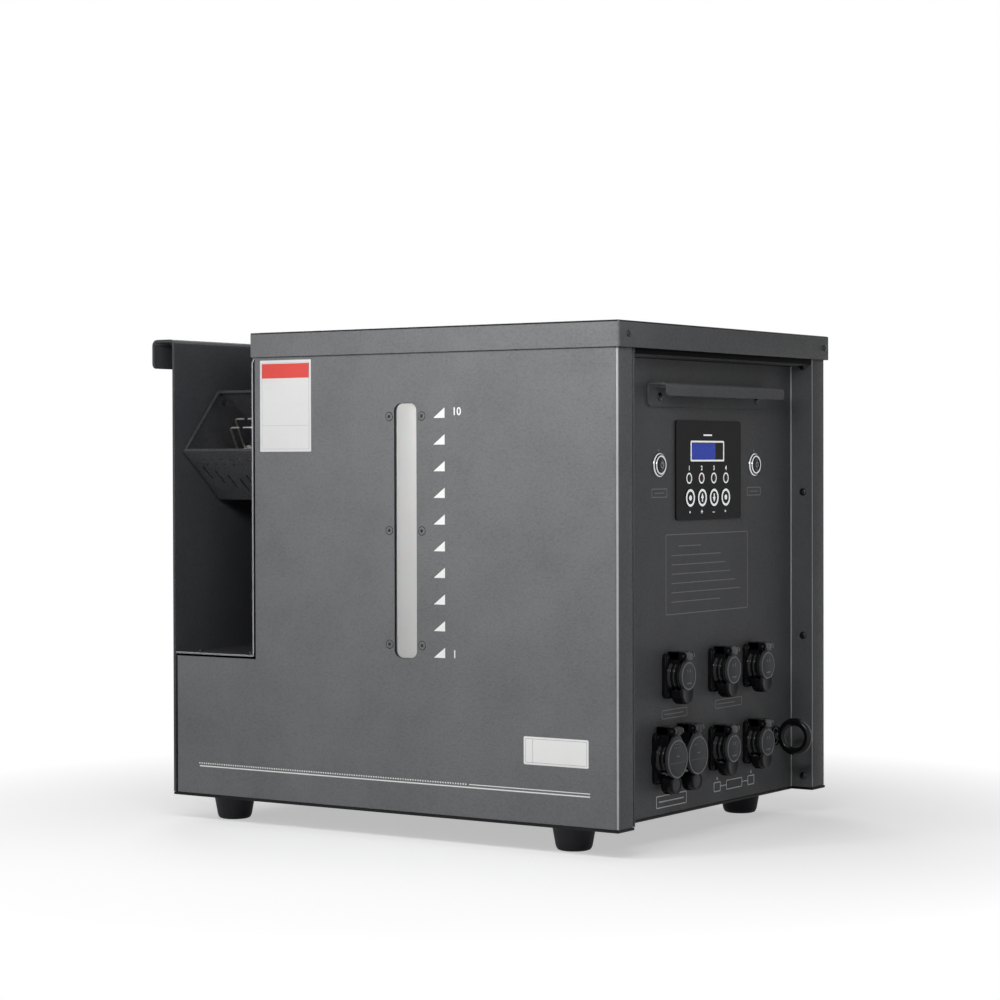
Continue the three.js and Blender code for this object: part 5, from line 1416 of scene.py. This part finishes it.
@dataclass
class Burner:
    """The tilting burner. Its pieces are drawn about its pivot, with the flame's way along their own up."""

    pivot: tuple[float, float, float] = (49.0, 61.2, 326.0)
    tilt: float = 49.0
    floor: float = -33.3
    offset: float = 5.0
    hexagon: float = 7.0
    barrel: float = 5.0
    rings: int = 3
    pipe: float = 2.0
    pipe_bend: float = 6.0
    pipe_end: float = 43.2
    pair_pitch: float = 11.0
    foot_spread: float = 27.0
    block_half: float = 4.5
    block_height: float = 15.2
    wire: float = 1.0
    wire_bend: float = 3.0
    tip_height: float = 25.0
    knob_place: tuple[float, float, float] = (-49.0, 34.7, 21.1)
    knob_radius: float = 9.0
    knob_lobes: int = 6
    shank_end: float = 6.1
    bush_rims: tuple[float, ...] = (10.3, 12.5, 12.7, 16.7)

    def build(self) -> None:
        """Makes the box, the nozzle, the electrodes with their insulators, the knob and the bushes."""
        self.at = Matrix.Translation(self.pivot) @ Matrix.Rotation(math.radians(self.tilt), 4, "X")
        softened("burner_box", BURNER_COAT, 0.2, 40.0)
        self.nozzle()
        for side, column in ((-1, "left"), (1, "right")):
            self.insulator(side, column)
            for level, row in ((-1, "front"), (1, "back")):
                self.electrode(side, level, f"electrode_{row}_{column}")
        self.knob()
        self.bushes()

    def nozzle(self) -> None:
        """Makes the brass nozzle with its hexagon, and the pipe that feeds it."""
        piece = Shape(self.at)
        floor, barrel, offset, end = self.floor, self.barrel, self.offset, self.pipe_end
        axis = (0, offset, 0)
        piece.prism(arc(self.hexagon, 0, 300, 5, axis[:2]), floor, floor + 9, edge=0.5)
        piece.turned([(0, floor - 3), (barrel, floor - 3), (barrel, floor + 9), (barrel, floor + 15),
                      (barrel - 0.4, floor + 15.8), (barrel - 1.0, floor + 16.2), (2.0, floor + 20.4),
                      (1.4, floor + 21), (0.6, floor + 21), (0.6, floor + 17), (0, floor + 17)], axis, steps=40)
        for count in range(self.rings):
            level = floor + 10.2 + count * 1.5
            piece.turned([(barrel - 0.1, level), (barrel + 0.35, level + 0.2), (barrel + 0.35, level + 0.7),
                          (barrel - 0.1, level + 0.9)], axis, steps=40)
        low = floor + 4.5
        piece.rod([(0, offset - 2.5, low), (0, -15, low), (end - 9, -15, low), (end - 9, 0, 0), (end + 5, 0, 0)],
                  self.pipe, self.pipe_bend)
        piece.piece("nozzle_turned", [BRASS], body="burner_head", nodes=["nozzle"])

    def insulator(self, side: int, column: str) -> None:
        """Makes a glazed block with a collar round each electrode.

        Args:
            side: -1 for the left pair, 1 for the right one.
            column: The side's name.
        """
        piece = Shape(self.at)
        across, half, reach = side * self.foot_spread, self.block_half, self.pair_pitch / 2 + 5.5
        area = (across - half, self.offset - reach, across + half, self.offset + reach)
        piece.strip(area, self.floor, self.block_height, half - 0.1, 0.8)
        for level in (-1, 1):
            piece.turned([(1.3, 10), (3.4, 10), (3.4, 15.2), (2.8, 16), (1.3, 16)],
                         (across, self.offset + level * self.pair_pitch / 2, self.floor), steps=32)
        piece.piece(f"insulator_{column}_glazed", [CERAMIC], body="burner_head", nodes=[f"insulator_{column}"])

    def electrode(self, side: int, level: int, node: str) -> None:
        """Makes a bent steel electrode.

        Args:
            side: -1 for the left pair, 1 for the right one.
            level: -1 for the front pair, 1 for the back one.
            node: Its CAD node.
        """
        piece = Shape(self.at)
        place, seat = self.offset + level * self.pair_pitch / 2, self.floor + self.block_height + 0.8
        foot, tip = side * self.foot_spread, self.tip_height
        piece.rod([(foot, place, seat - 6.7), (foot, place, seat + 3), (side * 13.5, place, tip),
                   (side * 2.3, place, tip)], self.wire, self.wire_bend)
        piece.turned([(1.0, 0), (1.9, 0), (1.9, 1.4), (1.0, 1.8)], (foot, place, seat), steps=20)
        piece.piece(f"{node}_bent", [HOT_WIRE], body="burner_head", nodes=[node])

    def knob(self) -> None:
        """Makes the lobed lock knob on its shank."""
        piece = Shape(self.at @ Matrix.Translation(self.knob_place))
        outline = []
        for angle in (math.tau * step / 72 for step in range(72)):
            radius = self.knob_radius * (1 + 0.06 * math.cos(self.knob_lobes * angle))
            outline.append((radius * math.cos(angle), radius * math.sin(angle)))
        piece.prism(outline, -9.3, -0.3, Along.RIGHT, 1.0)
        piece.disc(4.2, -9.5, -8.9, ORIGIN, Along.RIGHT, 32, 0.2)
        piece.paint = 1
        piece.disc(2.5, -0.5, self.shank_end, ORIGIN, Along.RIGHT, 24)
        piece.piece("tilt_lock_knob_moulded", [GLOSS_PLASTIC, ZINC], body="burner_head", nodes=["tilt_lock_knob"])

    def bushes(self) -> None:
        """Makes the two flanged pivot bushes."""
        _, y, z = self.pivot
        bore, lead, sleeve, flange = self.bush_rims
        for node, far, edge, inner in (("pivot_bush_left", 0.3, 3.8, 2.8), ("pivot_bush_right", 97.3, 94.2, 95.2)):
            chamfer = 0.3 if edge > far else -0.3
            bush = Shape()
            bush.turned([(bore, far), (lead, far), (sleeve, far + chamfer), (sleeve, inner), (flange, inner),
                         (flange, edge), (bore, edge)], (0, y, z), Along.RIGHT, 64)
            bush.piece(f"{node}_turned", [BRASS], nodes=[node])


@dataclass
class Interior:
    """What the closed cabinet holds, and the filler on its lid."""

    cap_place: tuple[float, float, float] = (270.5, 120.0, 428.0)
    cap_profile: tuple[Point, ...] = ((22.3, 0.3), (26.2, 0.3), (26.4, 0.6), (26.4, 5.0), (25.9, 5.7), (25.2, 6.0),
                                      (21.0, 6.0), (20.4, 5.7), (19.8, 5.3), (0, 5.3), (0, 4.4), (22.3, 4.4))
    cap_radius: float = 26.2
    ribs: int = 48
    slot_bar: Area = (-15.0, -2.4, 15.0, 2.4)

    def build(self) -> None:
        """Finishes the inner pieces and makes the filler cap."""
        for node, finish, edge in (
                ("fuel_tank", POLYETHYLENE, 1.0), ("filler_neck", MATT_PLASTIC, 0.4), ("fuel_pump", CASTING, 0.6),
                ("solenoid_valve", BRASS, 0.4), ("suction_hose", RUBBER, 0.2), ("pressure_hose", RUBBER, 0.2),
                ("feed_pipe", ZINC, 0.2), ("ignition_transformer", MATT_PLASTIC, 0.8), ("spark_lead", SILICONE, 0.2),
                ("power_supply", ZINC, 0.5)):
            softened(node, finish, edge)
        self.cap()

    def cap(self) -> None:
        """Makes the screw cap of the filler with its ribbed edge."""
        cap = Shape(Facing.TOP.at(*self.cap_place))
        cap.turned(self.cap_profile, steps=96)
        for u, v in arc(self.cap_radius, 0, 360, self.ribs)[:-1]:
            cap.disc(0.7, 0.6, 5.2, (u, v, 0), Along.OUT, 8, 0.15)
        cap.strip(self.slot_bar, 5.0, 0.95, 2.3, 0.3)
        cap.piece("filler_cap_moulded", [GLOSS_PLASTIC], body="cap", nodes=["filler_cap"])


@dataclass(frozen=True)
class Lamp:
    """A soft rectangular lamp that looks at a target, in the frame's metres and in watts."""

    name: str
    place: Point
    target: Point
    size: tuple[float, float]
    power: float

    def light(self) -> None:
        """Puts the lamp in the scene, out of the camera's sight."""
        data = bpy.data.lights.new(self.name, "AREA")
        data.shape = "RECTANGLE"
        data.size, data.size_y = self.size
        data.energy = self.power
        lamp = linked(self.name, data)
        lamp.location = self.place
        lamp.rotation_euler = (Vector(self.target) - Vector(self.place)).to_track_quat("-Z", "Y").to_euler()
        lamp.visible_camera = False


@dataclass
class Studio:
    """The camera where the photograph was taken from, three lamps and a pale floor, in the frame's metres."""

    eye: tuple[float, float, float] = (1.407, -2.080, 0.3355)
    yaw: float = 34.03
    pitch: float = 0.82
    roll: float = -0.14
    focal: float = 2649.0
    picture: float = 1000.0
    sensor: float = 36.0
    lamps: tuple[Lamp, ...] = (
        Lamp("upright_strip", (-0.5, -1.6, 0.7), (0.1, -0.1, 0.28), (0.12, 1.3), 4.2),
        Lamp("level_strip", (0.2, -0.66, 0.56), (0.08, -0.19, 0.36), (0.9, 0.14), 3.7),
        Lamp("back_softbox", (-1.4, 1.5, 1.0), (0.0, 0.1, 0.25), (1.0, 1.0), 14.0),
    )
    white: str = "#ffffff"
    room_strength: float = 0.08
    floor_radius: float = 12.0
    shadow_near: float = 0.3
    shadow_far: float = 0.66
    floor_seen: str = "#d4d4d4"
    floor_glow: float = 0.48
    floor_bounce: str = "#e0e0e0"

    def build(self) -> None:
        """Sets the camera, the lamps, the world and the floor."""
        self.camera()
        for lamp in self.lamps:
            lamp.light()
        self.world()
        self.floor()
        bpy.context.scene.view_settings.view_transform = "Standard"

    def camera(self) -> None:
        """Makes the camera."""
        yaw, pitch, roll = (math.radians(angle) for angle in (self.yaw, self.pitch, self.roll))
        forward = Vector((-math.sin(yaw) * math.cos(pitch), math.cos(yaw) * math.cos(pitch), -math.sin(pitch)))
        level = Vector((math.cos(yaw), math.sin(yaw), 0))
        upward = level.cross(forward)
        right = level * math.cos(roll) + upward * math.sin(roll)
        up = upward * math.cos(roll) - level * math.sin(roll)
        data = bpy.data.cameras.new("photo_camera")
        data.sensor_width = self.sensor
        data.lens = self.sensor * self.focal / self.picture
        camera = linked("photo_camera", data)
        camera.matrix_world = Matrix.Translation(self.eye) @ Matrix((right, up, -forward)).transposed().to_4x4()
        bpy.context.scene.camera = camera

    @staticmethod
    def looking(tree: bpy.types.NodeTree) -> bpy.types.NodeSocket:
        """Tells the rays that look at the background, straight or by way of metal and glass, from those that light.

        Args:
            tree: The node tree of the world or the floor.

        Returns:
            The output that is 1 for a ray that looks.
        """
        path = add(tree, "ShaderNodeLightPath").outputs
        bent = add(tree, "ShaderNodeMath", {0: path["Is Glossy Ray"], 1: path["Is Transmission Ray"]},
                   operation="MAXIMUM").outputs[0]
        return add(tree, "ShaderNodeMath", {0: path["Is Camera Ray"], 1: bent}, operation="MAXIMUM").outputs[0]

    def world(self) -> None:
        """Makes a dim, even room that looks white where the camera or a reflection sees it."""
        world = bpy.data.worlds.new("pale_room")
        bpy.context.scene.world = world
        tree = cleared(world)
        white = linear(self.white)
        room = add(tree, "ShaderNodeBackground", {"Color": white, "Strength": self.room_strength})
        seen = add(tree, "ShaderNodeBackground", {"Color": white, "Strength": 1.0})
        mix = add(tree, "ShaderNodeMixShader", {0: self.looking(tree), 1: room.outputs[0], 2: seen.outputs[0]})
        add(tree, "ShaderNodeOutputWorld", {"Surface": mix.outputs[0]})

    def floor(self) -> None:
        """Makes the pale floor, which shows the object's shadow near it and is plain white further away."""
        material = bpy.data.materials.new("pale_floor")
        tree = cleared(material)
        white = linear(self.white)
        place = add(tree, "ShaderNodeTexCoord").outputs["Object"]
        distance = add(tree, "ShaderNodeVectorMath", {0: place}, operation="LENGTH").outputs["Value"]
        far = add(tree, "ShaderNodeMapRange", {
            "Value": distance, "From Min": self.shadow_near, "From Max": self.shadow_far,
        }).outputs["Result"]
        matt = add(tree, "ShaderNodeBsdfDiffuse", {"Color": linear(self.floor_seen)})
        dim = add(tree, "ShaderNodeBsdfDiffuse", {"Color": linear(self.floor_bounce)})
        plain = add(tree, "ShaderNodeEmission", {"Color": white, "Strength": 1.0})
        glow = add(tree, "ShaderNodeEmission", {"Color": white, "Strength": self.floor_glow})
        lifted = add(tree, "ShaderNodeAddShader", {0: matt.outputs[0], 1: glow.outputs[0]})
        seen = add(tree, "ShaderNodeMixShader", {0: far, 1: lifted.outputs[0], 2: plain.outputs[0]})
        mix = add(tree, "ShaderNodeMixShader", {0: self.looking(tree), 1: dim.outputs[0], 2: seen.outputs[0]})
        add(tree, "ShaderNodeOutputMaterial", {"Surface": mix.outputs[0]})
        made = bmesh.new()
        bmesh.ops.create_circle(made, cap_ends=True, segments=96, radius=self.floor_radius)
        mesh = bpy.data.meshes.new("studio_floor")
        made.to_mesh(mesh)
        made.free()
        mesh.materials.append(material)
        linked("studio_floor", mesh)


def main() -> None:
    """Builds the studio and every sub-assembly in order."""
    logging.basicConfig(level=logging.INFO, format="%(message)s")
    for assembly in (Studio(), Cabinet(), Screws(), LevelWindow(), FrontPrints(), PanelPrints(), Display(),
                     PushButtons(), Sockets(), Burner(), Interior()):
        log.info("building %s", type(assembly).__name__)
        assembly.build()


if __name__ == "__main__":
    main()
